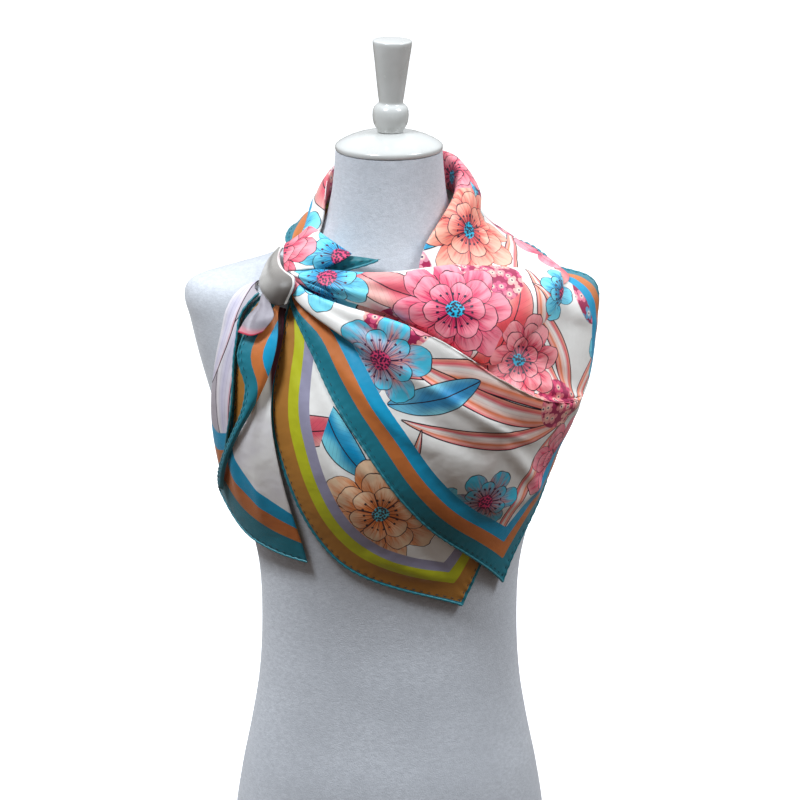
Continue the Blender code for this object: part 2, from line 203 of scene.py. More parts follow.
# ------------------------ floor and light
# A pale matt floor that runs out of sight on every side, over a warmer sheet that stands in for
# it where light is thrown back up. The studio is bright behind and overhead and dim in front, and
# two banks above the form, a small strong one and a broad weaker one, model the folds.
FLOOR_HALF = 40.0          # metres
FLOOR_GAP = 0.002          # metres from the floor down to the sheet
FLOOR_GLOW = 0.3           # keeps the floor as pale as the studio behind it
STUDIO_BACK = 1.05         # light from behind the form, and from straight ahead of it
STUDIO_FRONT = 0.09
STUDIO_LEVEL = 0.6         # the share of it that comes from the horizon
STUDIO_RISE = 0.6          # how much more comes from overhead
STUDIO_TINT = (0.94, 0.97, 1.0, 1.0)
BANK_TINT = (0.87, 0.935, 1.0)
BANK_AIM = Vector((0.0, 0.0, 0.55))
Bank = namedtuple("Bank", "name place side power")
BANKS = (
    Bank("bank_left", (-1.3, -1.3, 3.1), 0.7, 100.0),
    Bank("bank_right", (2.0, -0.7, 2.7), 1.0, 56.0),
)
for name, low, high in (("floor", paint(250, 250, 250), paint(253, 253, 253)),
                        ("floor_bounce", paint(116, 98, 86), paint(124, 106, 94))):
    seen = name == "floor"
    bpy.ops.mesh.primitive_grid_add(x_subdivisions=8, y_subdivisions=8, size=2.0 * FLOOR_HALF)
    floor = bpy.context.active_object
    floor.name = name
    floor_paint, place = new_material(name + "_paint")
    finish(floor_paint, Base_Color=place.noise(0.8, 3.0).mixed(low, high), Roughness=0.9,
           Specular_IOR_Level=0.1)
    floor.data.materials.append(floor_paint)
    floor.visible_camera = seen
    floor.visible_diffuse = floor.visible_glossy = not seen
    if seen:
        finish(floor_paint, Emission_Strength=FLOOR_GLOW, Emission_Color=(1.0, 1.0, 1.0, 1.0))
    else:
        floor.data.transform(Matrix.Translation((0.0, 0.0, -FLOOR_GAP)))

for bank in BANKS:
    stand = added(bank.name, bpy.data.lights.new(bank.name, "AREA"))
    stand.data.shape = "RECTANGLE"
    stand.data.size = stand.data.size_y = bank.side
    stand.data.energy = bank.power
    stand.data.color = BANK_TINT
    stand.location = bank.place
    stand.rotation_euler = (BANK_AIM - stand.location).to_track_quat("-Z", "Y").to_euler()

studio = bpy.data.worlds.new("studio")
studio.use_nodes = True
_, depth, height = Field(studio.node_tree).node("ShaderNodeTexCoord").parts()
glow = depth.step(-0.95, 0.35) * (STUDIO_BACK - STUDIO_FRONT) + STUDIO_FRONT
glow = glow * (height.step(-0.1, 0.95) * STUDIO_RISE + STUDIO_LEVEL)
backdrop = studio.node_tree.nodes["Background"]
backdrop.inputs["Color"].default_value = STUDIO_TINT
studio.node_tree.links.new(glow.socket, backdrop.inputs["Strength"])
bpy.context.scene.world = studio
bpy.context.scene.view_settings.view_transform = "Standard"

# ------------------------ the form's torso
# A padded torso in a stretched knit cover, pale cool grey, with flat plates where the arms
# would be. It is lofted through measured rings, each squared towards its plates.
Ring = namedtuple("Ring", "height half_width front back taper plate")
FORM_RINGS = np.array((
    Ring(0, 149, 97, 109, 0, 2), Ring(4, 152, 100, 112, 0, 2), Ring(45, 153, 102, 114, 0, 2),
    Ring(95, 146, 98, 111, 0, 2), Ring(145, 136, 90, 103, 0, 2), Ring(195, 128, 84, 90, 0, 2),
    Ring(250, 125, 80, 80, 0, 2), Ring(305, 127, 84, 79, 0.05, 2.2),
    Ring(350, 136, 96, 84, 0.10, 2.4), Ring(395, 148, 110, 92, 0.16, 2.8),
    Ring(435, 159, 116, 97, 0.22, 3.2), Ring(480, 172, 112, 98, 0.30, 4),
    Ring(520, 183, 101, 96, 0.36, 5), Ring(555, 191, 90, 92, 0.40, 6),
    Ring(578, 196, 81, 87, 0.42, 6), Ring(592, 188, 75, 81, 0.42, 5),
    Ring(601, 160, 70, 76, 0.38, 4), Ring(610, 128, 66, 71, 0.30, 3),
    Ring(621, 98, 63, 66, 0.18, 2.4), Ring(634, 75, 60, 62, 0.06, 2), Ring(650, 62, 57, 58, 0, 2),
    Ring(672, 55.5, 54, 54, 0, 2), Ring(695, 52.5, 52, 52, 0, 2),
    Ring(717.3, 50.8, 50.8, 50.8, 0, 2),
))
FORM_SEGMENTS = 192        # round the form
FORM_STEPS = 8             # between two rings


def ring_at(heights):
    """The form's ring at each height: slopes are taken over the rings on both sides."""
    rings = FORM_RINGS
    last = len(rings) - 1
    index = np.clip(np.searchsorted(rings[:, 0], heights) - 1, 0, last - 1)
    low = rings[index]
    high = rings[index + 1]
    below = rings[np.maximum(index - 1, 0)]
    above = rings[np.minimum(index + 2, last)]
    span = high[..., :1] - low[..., :1]
    share = np.clip((heights[..., None] - low[..., :1]) / span, 0.0, 1.0)
    leave = (high - below) / (high[..., :1] - below[..., :1]) * span
    arrive = (above - low) / (above[..., :1] - low[..., :1]) * span
    step = high - low
    return low + share * (leave + share * (
        3.0 * step - 2.0 * leave - arrive + share * (leave + arrive - 2.0 * step)))


def form_point(turn, height):
    """Points of the form's surface."""
    _, half_width, front, back, taper, plate = np.moveaxis(ring_at(height), -1, 0)
    side = np.sin(np.radians(turn))
    facing = np.cos(np.radians(turn))
    depth = np.where(facing > 0.0, front, back) * (1.0 - taper * side * side)
    depth = depth * np.sqrt(np.maximum(1.0 - np.abs(side) ** plate, 0.0))
    return np.stack((half_width * side, -np.copysign(depth, facing), height), axis=-1)


def unit(vectors):
    return vectors / np.maximum(np.linalg.norm(vectors, axis=-1, keepdims=True), 1e-9)


def form_normal(turn, height):
    """The directions straight out of the form's surface."""
    around = form_point(turn + 1.0, height) - form_point(turn - 1.0, height)
    upward = form_point(turn, height + 1.0) - form_point(turn, height - 1.0)
    return unit(np.cross(around, upward))


def grid_faces(rows, columns, closed=False):
    """Four-sided faces over a grid of points, closed into a tube or left open."""
    row, column = np.meshgrid(np.arange(rows - 1), np.arange(columns if closed else columns - 1),
                              indexing="ij")
    beside = (column + 1) % columns
    faces = np.stack((row * columns + column, row * columns + beside,
                      (row + 1) * columns + beside, (row + 1) * columns + column), axis=-1)
    return faces.reshape(-1, 4).tolist()


def new_piece(name, points, faces, *materials):
    """A smooth-shaded mesh object from points in millimetres."""
    mesh = bpy.data.meshes.new(name)
    mesh.from_pydata((np.asarray(points).reshape(-1, 3) * MM).tolist(), [], faces)
    for material in materials:
        mesh.materials.append(material)
    mesh.shade_smooth()
    return added(name, mesh)


def fix(piece, node):
    """Fix a piece to the form in place of its plain solid."""
    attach(piece, "root")
    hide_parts(node)


knit, place = new_material("knit_cover")
heather = place.noise(900.0)
speck = place.scaled(0.45, 0.45, 1.0).noise(420.0, 3.0)
ribs = place.scaled(0.7, 0.7, 1.0).cells(1100.0, dimensions="3D")
tone = (heather * 0.45 + speck * 0.55).step(0.25, 0.75)
pale = place.noise(14.0, 3.0).step(0.3, 0.75).mixed(paint(200, 203, 209), paint(214, 217, 223))
finish(knit, Base_Color=tone.mixed(paint(182, 185, 191), pale),
       Normal=place.bumped(ribs * 0.6 + heather * 0.8, 0.0004, 0.55),
       Roughness=speck.step(0.2, 0.8) * 0.12 + 0.8, Sheen_Weight=0.35, Sheen_Roughness=0.5,
       Specular_IOR_Level=0.25)

heights = []
for low, high in zip(FORM_RINGS[:-1, 0], FORM_RINGS[1:, 0]):
    heights.extend(low + (high - low) * step / FORM_STEPS for step in range(FORM_STEPS))
heights.append(FORM_RINGS[-1, 0])
turns = 360.0 * np.arange(FORM_SEGMENTS) / FORM_SEGMENTS
torso_faces = grid_faces(len(heights), FORM_SEGMENTS, closed=True)
top = (len(heights) - 1) * FORM_SEGMENTS
torso_faces += [list(reversed(range(FORM_SEGMENTS))), list(range(top, top + FORM_SEGMENTS))]
torso = new_piece("torso", form_point(*np.meshgrid(turns, heights)), torso_faces, knit)
torso.data.set_sharp_from_angle(angle=math.radians(50.0))
fix(torso, "form_torso")

# ------------------------ the neck cap and its grip
# Turned wood in white gloss paint. The cap is a thin rim under a low dome, and the grip that
# the form is lifted by is a flared cone on a ball.
Turned = namedtuple("Turned", "radius height")
CAP_BASE = 717.6
CAP_PROFILE = (
    Turned(0, 17.4), Turned(15, 17.4), Turned(19, 17.2), Turned(25, 16.3), Turned(32, 14.4),
    Turned(39, 11.8), Turned(45, 8.9), Turned(49, 6.4), Turned(50.3, 5.3), Turned(51, 4.1),
    Turned(51, 1.4), Turned(50.5, 0.5), Turned(49.4, 0), Turned(0, 0),
)
GRIP_BASE = 735.62
GRIP_LEAN = 1.4            # degrees towards +X
GRIP_OFFSET = 1.2
GRIP_PROFILE = (
    Turned(0, 87), Turned(15, 87), Turned(17.6, 86.8), Turned(18.3, 86.4), Turned(18.6, 85.6),
    Turned(18.4, 82.5), Turned(17.6, 75.8), Turned(16.3, 66.6), Turned(15, 55.6),
    Turned(13.5, 43.6), Turned(12.3, 34), Turned(11.5, 29.2), Turned(11.4, 27.6), Turned(12, 26.4),
    Turned(13.8, 25.2), Turned(15.8, 23), Turned(16.9, 19.8), Turned(17.2, 15.5),
    Turned(16.9, 11.5), Turned(16, 7.5), Turned(14.3, 4), Turned(12.9, 1.6), Turned(12.6, 0),
    Turned(0, 0),
)
TURNING_STEPS = 96
TURNING_MERGE = 0.02       # nearer points on the axis become one

gloss, place = new_material("white_gloss_paint")
aged = place.noise(30.0, 4.0)
finish(gloss, Base_Color=aged.step(0.35, 0.75).mixed(paint(200, 200, 197), paint(188, 188, 184)),
       Roughness=aged.step(0.3, 0.8) * 0.1 + 0.2,
       Normal=place.bumped(place.noise(260.0), 0.0001, 0.3), Coat_Weight=0.5, Coat_Roughness=0.12)


def apply_modifiers(piece):
    """Keep what a piece's modifiers make as its own plain mesh."""
    made = piece.evaluated_get(bpy.context.evaluated_depsgraph_get())
    piece.data = bpy.data.meshes.new_from_object(made)
    piece.modifiers.clear()


def turned_piece(name, profile, base, offset=0.0, lean=0.0):
    """Spin an outline, listed from the top down, into a closed mesh and stand it on its seat."""
    mesh = bpy.data.meshes.new(name)
    edges = [(index, index + 1) for index in range(len(profile) - 1)]
    mesh.from_pydata([(spot.radius * MM, 0.0, spot.height * MM) for spot in profile], edges, [])
    mesh.materials.append(gloss)
    piece = added(name, mesh)
    screw = piece.modifiers.new("turning", "SCREW")
    screw.steps = screw.render_steps = TURNING_STEPS
    screw.use_merge_vertices = screw.use_smooth_shade = True
    screw.merge_threshold = TURNING_MERGE * MM
    apply_modifiers(piece)
    piece.data.transform(Matrix.Translation((offset * MM, 0.0, base * MM))
                         @ Matrix.Rotation(math.radians(lean), 4, "Y"))
    piece.data.set_sharp_from_angle(angle=math.radians(40.0))
    return piece


cap = turned_piece("neck_cap_turned", CAP_PROFILE, CAP_BASE)
grip = turned_piece("grip_turned", GRIP_PROFILE, GRIP_BASE, GRIP_OFFSET, GRIP_LEAN)
fix(cap, "neck_cap")
fix(grip, "neck_finial")

# ------------------------ the silk and its print
# Silk twill, printed right through on both faces: an ivory ground strewn with blossoms, veined
# leaves and long strap leaves, inside a border of plain bands. The cloth's own places, in
# millimetres on the flat square, and its distance from the nearest hem are kept on the mesh.
PRINT_HALF = 210.0         # the print repeats twice this far on
DRAWN_LINE = 1.1           # the width that outlines are drawn in
FLORET_SCALE = 0.085       # florets to a millimetre
EYE_DOT_SCALE = 0.42
TURN = 2.0 * math.pi
IVORY = paint(240, 237, 232)
INK = paint(34, 16, 32)
Motif = namedtuple("Motif", "u v size turn hue")
Strap = namedtuple("Strap", "u v heading bend length width")
Band = namedtuple("Band", "reach colour")
PetalRing = namedtuple("PetalRing", "count shift tip notch ruffle pale_from pale_to")
Wash = namedtuple("Wash", "deep pale eye_size eye_ground eye_dot heart shade vein",
                  defaults=(None,) * 6)


def new_silk(name):
    """A silk, its flat place on the square and the distance from the hem, in millimetres."""
    material, kept = new_material(name, "ShaderNodeAttribute", "Vector", attribute_name="cloth")
    across, up, edge = kept.parts()
    return material, kept.joined(across, up), edge


def turned_back(place, angle):
    return place.node("ShaderNodeVectorRotate", {"Vector": place, "Angle": angle},
                      rotation_type="Z_AXIS")


def from_spot(place, u, v):
    """A place's offset from a spot of the print, over the edge of the repeat."""
    return place.vector("SUBTRACT", (u, v, 0.0)).vector(
        "WRAP", (PRINT_HALF,) * 3, (-PRINT_HALF,) * 3)


def nearest_motif(place, motifs):
    """The motif that each place belongs to, measured in that motif's own size and turn."""
    own = reach = facts = None
    for motif in motifs:
        offset = from_spot(place, motif.u, motif.v).scaled(1.0 / motif.size)
        distance = offset.vector("LENGTH", output=1)
        fact = (math.radians(motif.turn), motif.size, motif.hue)
        if own is None:
            own, reach, facts = offset, distance, fact
            continue
        nearer = distance.math("LESS_THAN", reach)
        own = nearer.mixed(own, offset, "VECTOR")
        facts = nearer.mixed(facts, fact, "VECTOR")
        reach = reach.least(distance)
    turn, size, hue = facts.parts()
    return turned_back(own, turn), reach, size, hue


def line(distance, width):
    """1 on a drawn line, from the distance to its middle in millimetres."""
    return distance.step(width * 0.62, width * 0.38)


def petals(reach, angle, size, ring, ruffle):
    """A ring of petals: where it covers, its drawn lines, and how far across a petal it is."""
    lobe = (angle * (ring.count / TURN) + ring.shift).off_middle() * 2.0
    outline = (1.0 - lobe ** 2.6 * ring.notch) * ring.tip + ruffle
    inside = (outline - reach) * size
    gap = (1.0 - lobe) * reach * size * (math.pi / ring.count)
    drawn = line(inside.least(gap), DRAWN_LINE) * inside.step(-0.6, 0.0)
    return inside.step(-0.3, 0.3), drawn, lobe


def draw_blossoms(cloth, place, motifs, colours, rings):
    """Layered blossoms: rings of petals, washed from tip to heart, round a dotted eye."""
    own, reach, size, hue = nearest_motif(place, motifs)
    across, up, _ = own.parts()
    angle = up.math("ARCTAN2", across)
    rays = own.vector("NORMALIZE").scaled(7.0)
    streak = rays.vector("ADD", place.joined(reach * 2.0, hue * 9.0, reach * 1.5)).noise(1.0, 3.0)
    waver = own.vector("ADD", place.joined(hue * 3.0, hue)).noise(3.4) - 0.5
    deep = hue.mixed(*colours.deep)
    pale = hue.mixed(*colours.pale)
    for ring in rings:
        cover, drawn, lobe = petals(reach, angle, size, ring, waver * ring.ruffle)
        share = reach / ring.tip
        wash = (share + (streak - 0.5) * 1.3).step(ring.pale_from, ring.pale_to)
        flush = (lobe + (streak - 0.5) * 0.9).step(0.55, 1.1) * 0.5
        petal = flush.mixed(wash.mixed(deep, pale), deep)
        veins = (angle * (ring.count * 9.0 / TURN) + streak * 2.0).off_middle()
        veins = line(veins * reach * size * (0.7 / ring.count), 0.6)
        petal = (veins * (share + streak * 0.7).step(1.35, 0.75) * 0.75).mixed(petal, colours.vein)
        cloth = drawn.mixed(cover.mixed(cloth, petal), INK)
    spoke = (angle * (18.0 / TURN) + hue * 0.5).off_middle() * reach * size * 0.35
    reach_out = waver * 0.2 + colours.eye_size * 2.0
    thread = line(spoke, 0.7) * reach.math("LESS_THAN", reach_out)
    anther = spoke.most(abs((reach - reach_out) * size))
    cloth = (thread * 0.8).mixed(cloth, colours.eye_dot)
    cloth = anther.step(1.3, 0.9).mixed(cloth, colours.eye_dot)
    heart = (reach + waver * 0.10).step(colours.eye_size * 1.08, colours.eye_size * 0.92)
    dots = place.cells(EYE_DOT_SCALE).step(0.55, 0.35)
    return heart.mixed(cloth, dots.mixed(colours.eye_ground, colours.eye_dot))


def draw_florets(cloth, place, motifs, colours):
    """Round heads of many small four-petalled florets."""
    own, reach, size, hue = nearest_motif(place, motifs)
    cells = place.cells(FLORET_SCALE, 0.75)
    tint, other, _ = cells.beside("Color").parts()
    floret = place.scaled(FLORET_SCALE).vector(
        "SUBTRACT", cells.beside("Position").scaled(FLORET_SCALE))
    across, up, _ = floret.parts()
    angle = up.math("ARCTAN2", across) + tint * 6.0
    distance = floret.vector("LENGTH", output=1)
    lobe = (angle * (4.0 / TURN)).off_middle() * 2.0
    depth = (0.60 - lobe * lobe * 0.26 - distance) * 11.8
    petal = other.step(0.25, 0.8).mixed(hue.mixed(*colours.deep), hue.mixed(*colours.pale))
    petal = distance.step(0.32, 0.05).mixed(petal, hue.mixed(*colours.heart))
    head = depth.step(-0.2, 0.3).mixed(colours.shade, petal)
    head = (line(depth, 0.8) * 0.85).mixed(head, colours.vein)
    head = distance.step(0.10, 0.07).mixed(head, colours.eye_dot)
    return reach.step(1.02, 0.97).mixed(cloth, head)


def draw_leaves(cloth, place, motifs, colours):
    """Pointed leaves with a drawn midrib and side veins."""
    own, reach, size, hue = nearest_motif(place, motifs)
    across, up, _ = own.parts()
    bent = up - across * across * 0.16 + 0.06
    off_rib = abs(bent)
    half = (1.0 - across * across).most(0.0) ** 0.72 * 0.33
    inside = (half - off_rib) * size
    veins = ((across - off_rib * 1.1) * 8.0).off_middle() * size * 0.25
    wash = own.vector("ADD", place.joined(hue, hue * 5.0)).noise(1.3, 1.0)
    leaf = (wash + off_rib * 0.9 - 0.14).step(0.35, 0.75).mixed(
        hue.mixed(*colours.deep), hue.mixed(*colours.pale))
    leaf = (line(veins, 0.7) * 0.45).mixed(leaf, hue.mixed(*colours.vein))
    drawn = line(abs(inside).least(off_rib * size), DRAWN_LINE)
    cover = half.step(0.0, 0.01)
    cloth = (cover * inside.step(-0.3, 0.3)).mixed(cloth, leaf)
    return (cover * drawn * inside.step(-0.8, -0.2)).mixed(cloth, INK)


def draw_strap(cloth, place, strap, stripes):
    """One long arching leaf from a spot of the print, striped and pointed at both ends."""
    heading = math.radians(strap.heading)
    side = math.copysign(1.0, strap.bend)
    sweep = strap.length / abs(strap.bend)
    middle = heading + side * (sweep - math.pi) / 2.0
    out = abs(strap.bend) * math.cos(middle), abs(strap.bend) * math.sin(middle), 0.0
    offset = from_spot(place, strap.u - strap.bend * math.sin(heading) + out[0],
                       strap.v + strap.bend * math.cos(heading) + out[1]).vector("ADD", out)
    offset = turned_back(offset, -middle)
    across, up, _ = offset.parts()
    along = up.math("ARCTAN2", across) * (side / sweep) + 0.5
    half = (along * (1.0 - along) * 4.0).most(0.0) ** 0.8 * (1.2 - along * 0.5) * strap.width
    shift = (offset.vector("LENGTH", output=1) - abs(strap.bend)) * side
    inside = half - abs(shift)
    share = shift / half.most(0.05) * 0.5 + 0.5
    tint = place.joined(along * 6.0, share * 1.5, strap.heading).noise(1.0)
    leaf = share.node("ShaderNodeValToRGB", {"Fac": share + (tint - 0.5) * 0.16}, stops=stripes)
    leaf = (along.step(0.45, 0.0) * 0.5).mixed(leaf, stripes[2][1])
    leaf = (line((share * 5.0).off_middle() * half * 0.4, 0.35) * 0.22).mixed(leaf, INK)
    cloth = (inside.step(-0.3, 0.3) * half.step(0.2, 0.5)).mixed(cloth, leaf)
    return (line(abs(inside), DRAWN_LINE) * half.step(0.1, 0.4)).mixed(cloth, INK)


def draw_border(cloth, edge, bands, place):
    """Plain bands along the hems, from the edge inwards, each a little uneven in dye."""
    starts = [0.0] + [band.reach / 100.0 for band in bands[:-1]]
    stops = [(start, band.colour) for start, band in zip(starts, bands)]
    ramp = edge.node("ShaderNodeValToRGB", {"Fac": edge / 100.0}, stops=stops)
    ramp.socket.node.color_ramp.interpolation = "CONSTANT"
    dyed = (place.noise(0.05, 3.0).step(0.25, 0.8) * 0.08).mixed(ramp, paint(20, 22, 26))
    return edge.step(bands[-1].reach, bands[-1].reach + 0.25).mixed(dyed, cloth)


def silk_finish(material, place, colour):
    """A soft lustre over a fine twill line, with the faint rumple of worn silk."""
    across, up, _ = place.parts()
    twill = ((across + up) * 14.0).math("SINE") * 0.5 + 0.5
    slub = place.scaled(0.2, 3.0, 1.0).noise(0.8)
    rumple = place.bumped(place.noise(0.045), 0.0022, 0.55)
    finish(material, Base_Color=colour, Roughness=slub.step(0.2, 0.8) * 0.1 + 0.38,
           Normal=place.bumped(twill * 0.5 + slub * 0.5, 0.00012, 0.35, rumple),
           Sheen_Weight=0.12, Sheen_Roughness=0.4, Specular_IOR_Level=0.42)


FULL_BLOSSOM = (
    PetalRing(8, 0, 1, 0.30, 0.16, 0.35, 1.05), PetalRing(7, 0.4, 0.76, 0.28, 0.14, 0.30, 1.10),
    PetalRing(6, 0.1, 0.52, 0.26, 0.12, 0.20, 1.15),
)
OPEN_BLOSSOM = (
    PetalRing(6, 0.5, 1, 0.44, 0.12, 0.25, 0.95), PetalRing(6, 0, 0.66, 0.46, 0.10, 0.20, 1.05),
)
PINK_WASH = Wash(
    deep=(paint(226, 30, 88), paint(232, 72, 62)),
    pale=(paint(250, 156, 170), paint(252, 184, 160)),
    eye_size=0.15, eye_ground=paint(20, 176, 212), eye_dot=paint(34, 20, 52),
    vein=paint(150, 14, 70))
CYAN_WASH = Wash(
    deep=(paint(4, 154, 204), paint(240, 116, 62)),
    pale=(paint(120, 216, 236), paint(50, 192, 226)),
    eye_size=0.22, eye_ground=paint(222, 66, 112), eye_dot=paint(70, 22, 60),
    vein=paint(10, 74, 132))
FLORET_WASH = Wash(
    deep=(paint(216, 66, 110), paint(60, 168, 204)),
    pale=(paint(246, 170, 160), paint(236, 120, 150)),
    heart=(paint(250, 214, 190), paint(246, 232, 216)),
    shade=paint(206, 56, 100), eye_dot=paint(60, 40, 90), vein=paint(150, 26, 74))
LEAF_WASH = Wash(
    deep=(paint(6, 146, 196), paint(226, 76, 84)),
    pale=(paint(126, 214, 230), paint(248, 178, 164)),
    vein=(paint(24, 60, 124), paint(150, 40, 66)))
STRAP_STRIPES = (
    (0.0, paint(236, 86, 100)), (0.15, paint(248, 176, 164)), (0.30, paint(242, 128, 84)),
    (0.42, paint(250, 214, 200)), (0.64, paint(246, 234, 228)), (0.80, paint(236, 98, 108)),
    (1.0, paint(250, 176, 150)),
)
OUTER_BLOSSOMS = (
    Motif(152, -22, 54, 20, 0), Motif(226, -70, 42, 75, 0.25), Motif(46, 118, 58, -30, 0.6),
    Motif(-40, -20, 54, 140, 0.1), Motif(156, 96, 52, 60, 1), Motif(236, 106, 46, 15, 0.15),
    Motif(352, 84, 46, 40, 0.05), Motif(290, -190, 48, 35, 0.05),
)
OUTER_CYANS = (
    Motif(82, -88, 47, 0, 0.75), Motif(270, -12, 30, 30, 0), Motif(150, -236, 30, 12, 0.1),
    Motif(200, 196, 36, 50, 0.8), Motif(350, -90, 34, 80, 0.1), Motif(296, 92, 36, 80, 0.5),
    Motif(203, 72, 24, 30, 0), Motif(34, 10, 44, 25, 0),
)
OUTER_FLORETS = (
    Motif(104, -48, 30, 0, 0.05), Motif(196, 16, 32, 0, 0.1), Motif(330, -30, 30, 0, 0.9),
    Motif(256, -122, 26, 0, 0), Motif(110, 170, 34, 0, 0.5), Motif(-30, 90, 30, 0, 0.1),
)
OUTER_LEAVES = (
    Motif(96, 2, 52, 25, 0.9), Motif(200, -40, 56, -60, 1), Motif(60, 44, 44, 100, 0.9),
    Motif(130, -122, 44, -20, 0.05), Motif(300, 50, 52, 20, 0.9), Motif(200, 150, 50, -70, 0.2),
    Motif(-10, 60, 50, -20, 0.9), Motif(160, -290, 46, 50, 0), Motif(80, 180, 50, 10, 1),
    Motif(340, -150, 48, 80, 0.9),
)
OUTER_STRAPS = (
    Strap(276, -136, 150, 300, 230, 13), Strap(276, -136, 184, -260, 200, 11),
    Strap(276, -136, 206, -230, 180, 9.5), Strap(276, -136, 236, 240, 160, 9),
    Strap(276, -136, 122, -240, 170, 10), Strap(276, -136, 84, 190, 150, 8.5),
    Strap(276, -136, 46, -170, 130, 8), Strap(20, 80, 34, 230, 220, 11),
    Strap(20, 80, 72, -230, 190, 10), Strap(20, 80, 2, -210, 180, 9),
)
INNER_WASH = Wash(
    deep=(paint(224, 120, 50), paint(226, 92, 96)),
    pale=(paint(244, 208, 172), paint(244, 190, 178)),
    eye_size=0.14, eye_ground=paint(86, 176, 190), eye_dot=paint(60, 44, 40),
    vein=paint(186, 84, 30))
INNER_BLOSSOMS = (
    Motif(88, -206, 58, 15, 0), Motif(300, 90, 56, 60, 1), Motif(30, 140, 52, 120, 0.4),
    Motif(260, -160, 54, -20, 0.7),
)
INNER_LEAVES = (
    Motif(58, -132, 44, 60, 0), Motif(150, -180, 48, -30, 0.3), Motif(120, 60, 46, 20, 1),
    Motif(230, 30, 44, 90, 0.1), Motif(20, -120, 46, 0, 0.9), Motif(330, -40, 46, 45, 0),
)
OUTER_BANDS = (
    Band(16.5, paint(28, 124, 142)),
    Band(30.0, paint(206, 118, 58)),
    Band(43.0, paint(14, 156, 200)),
)
INNER_BANDS = (
    Band(2.2, paint(28, 124, 142)),
    Band(20.0, paint(180, 122, 52)),
    Band(32.5, paint(196, 198, 36)),
    Band(44.5, paint(158, 154, 178)),
)

outer_silk, place, edge = new_silk("printed_silk_outer_face")
colour = place.noise(0.02, 3.0).step(0.55, 0.9).mixed(IVORY, paint(232, 220, 214))
for strap in OUTER_STRAPS:
    colour = draw_strap(colour, place, strap, STRAP_STRIPES)
colour = draw_leaves(colour, place, OUTER_LEAVES, LEAF_WASH)
colour = draw_florets(colour, place, OUTER_FLORETS, FLORET_WASH)
colour = draw_blossoms(colour, place, OUTER_CYANS, CYAN_WASH, OPEN_BLOSSOM)
colour = draw_blossoms(colour, place, OUTER_BLOSSOMS, PINK_WASH, FULL_BLOSSOM)
silk_finish(outer_silk, place, draw_border(colour, edge, OUTER_BANDS, place))

inner_silk, place, edge = new_silk("printed_silk_inner_face")
colour = place.noise(0.02, 3.0).step(0.55, 0.9).mixed(IVORY, paint(234, 222, 208))
colour = draw_leaves(colour, place, INNER_LEAVES, LEAF_WASH)
colour = draw_blossoms(colour, place, INNER_BLOSSOMS, INNER_WASH, FULL_BLOSSOM)
silk_finish(inner_silk, place, draw_border(colour, edge, INNER_BANDS, place))

teal_thread, place = new_material("teal_hem_silk")
strand = place.noise(900.0)
colour = strand.step(0.2, 0.8).mixed(paint(22, 106, 120), paint(40, 138, 152))
finish(teal_thread, Base_Color=colour, Normal=place.bumped(strand, 0.0003, 0.5),
       Roughness=strand * 0.2 + 0.35, Sheen_Weight=0.15)

dark_thread, place = new_material("dark_teal_thread")
strand = place.noise(1200.0)
finish(dark_thread, Base_Color=strand.step(0.2, 0.8).mixed(paint(8, 42, 52), paint(16, 66, 78)),
       Roughness=0.6)

# ------------------------ the under panel
# The lower layer of the folded square: it hangs from the knot below the main panel and shows the
# square's inner face. Like every stretch of the silk below, it is drawn as a few named folds, each
# a row of places from the knot out, and smooth curves between them make the cloth.
Crease = namedtuple("Crease", "start end bow width depth")
# The spot of the print, in millimetres, where a stretch leaves the knot, and the way it then runs.
Placing = namedtuple("Placing", "u v heading")
# far is the share of its side that a hem's roll runs along, and slide the distances, at the knot
# and at the far end, by which its printed border is out of sight.
Hem = namedtuple("Hem", "side printed rolled stitched far slide",
                 defaults=(True, True, True, 1.0, (0.0, 0.0)))
SILK_WALL = 0.55           # two layers that lie together
SILK_GAP = 1.7             # middle of one wall to the middle of the next
SILK_LEAST = 1.2           # nearest that the cloth comes to the form
SOFTENING = 240            # passes that ease a sheet down beside what lifts it
OUTSIDE = 160.0            # further off the form than any cloth
NO_HEM = 400.0             # distance from the hem on cloth that has none
PATTERN_STEPS = (8, 3)     # of the flat pattern to a step of the folds, along and across
HEM_RADIUS = 1.3
HEM_PINCH = 0.16           # how much of its girth a stitch takes from the roll
STITCH_GAP = 8.0           # between hand stitches
STITCH_INSET = 4.2         # from the hem's edge to its stitches
STITCH_CLEAR = 0.9         # the share of the inset that they keep from a corner's other hem
STITCH_LENGTH = 4.2
STITCH_PROUD = 0.05        # how far their middles stand off the cloth
THREAD = 0.36
PUCKER = 0.42              # how far the stitches draw the cloth in and out
PUCKER_REACH = 6.5         # how far in from the hem
GATHER_REACH = 28.0        # how far from the knot the gathers spread out
FAR_SIDES = ("last fold", "free end")
laid = {}


def refine(values, steps, axis):
    """Read smooth curves through values along one axis, with some steps from each to the next."""
    values = np.moveaxis(values, axis, 0)
    padded = np.concatenate((2.0 * values[:1] - values[1:2], values,
                             2.0 * values[-1:] - values[-2:-1]))
    position = np.arange((len(values) - 1) * steps + 1) / steps
    index = np.minimum(position.astype(int), len(values) - 2)
    share = (position - index).reshape((-1,) + (1,) * (values.ndim - 1))
    before, start, end, after = (padded[index + offset] for offset in range(4))
    read = 0.5 * (2.0 * start + (end - before) * share
                  + (2.0 * before - 5.0 * start + 4.0 * end - after) * share ** 2
                  + (3.0 * start - before - 3.0 * end + after) * share ** 3)
    return np.moveaxis(read, 0, axis)


def cloth_points(net):
    """The points of a net of places that stand off the form."""
    surface = form_point(net[..., 0], net[..., 1])
    return surface + form_normal(net[..., 0], net[..., 1]) * net[..., 2:]


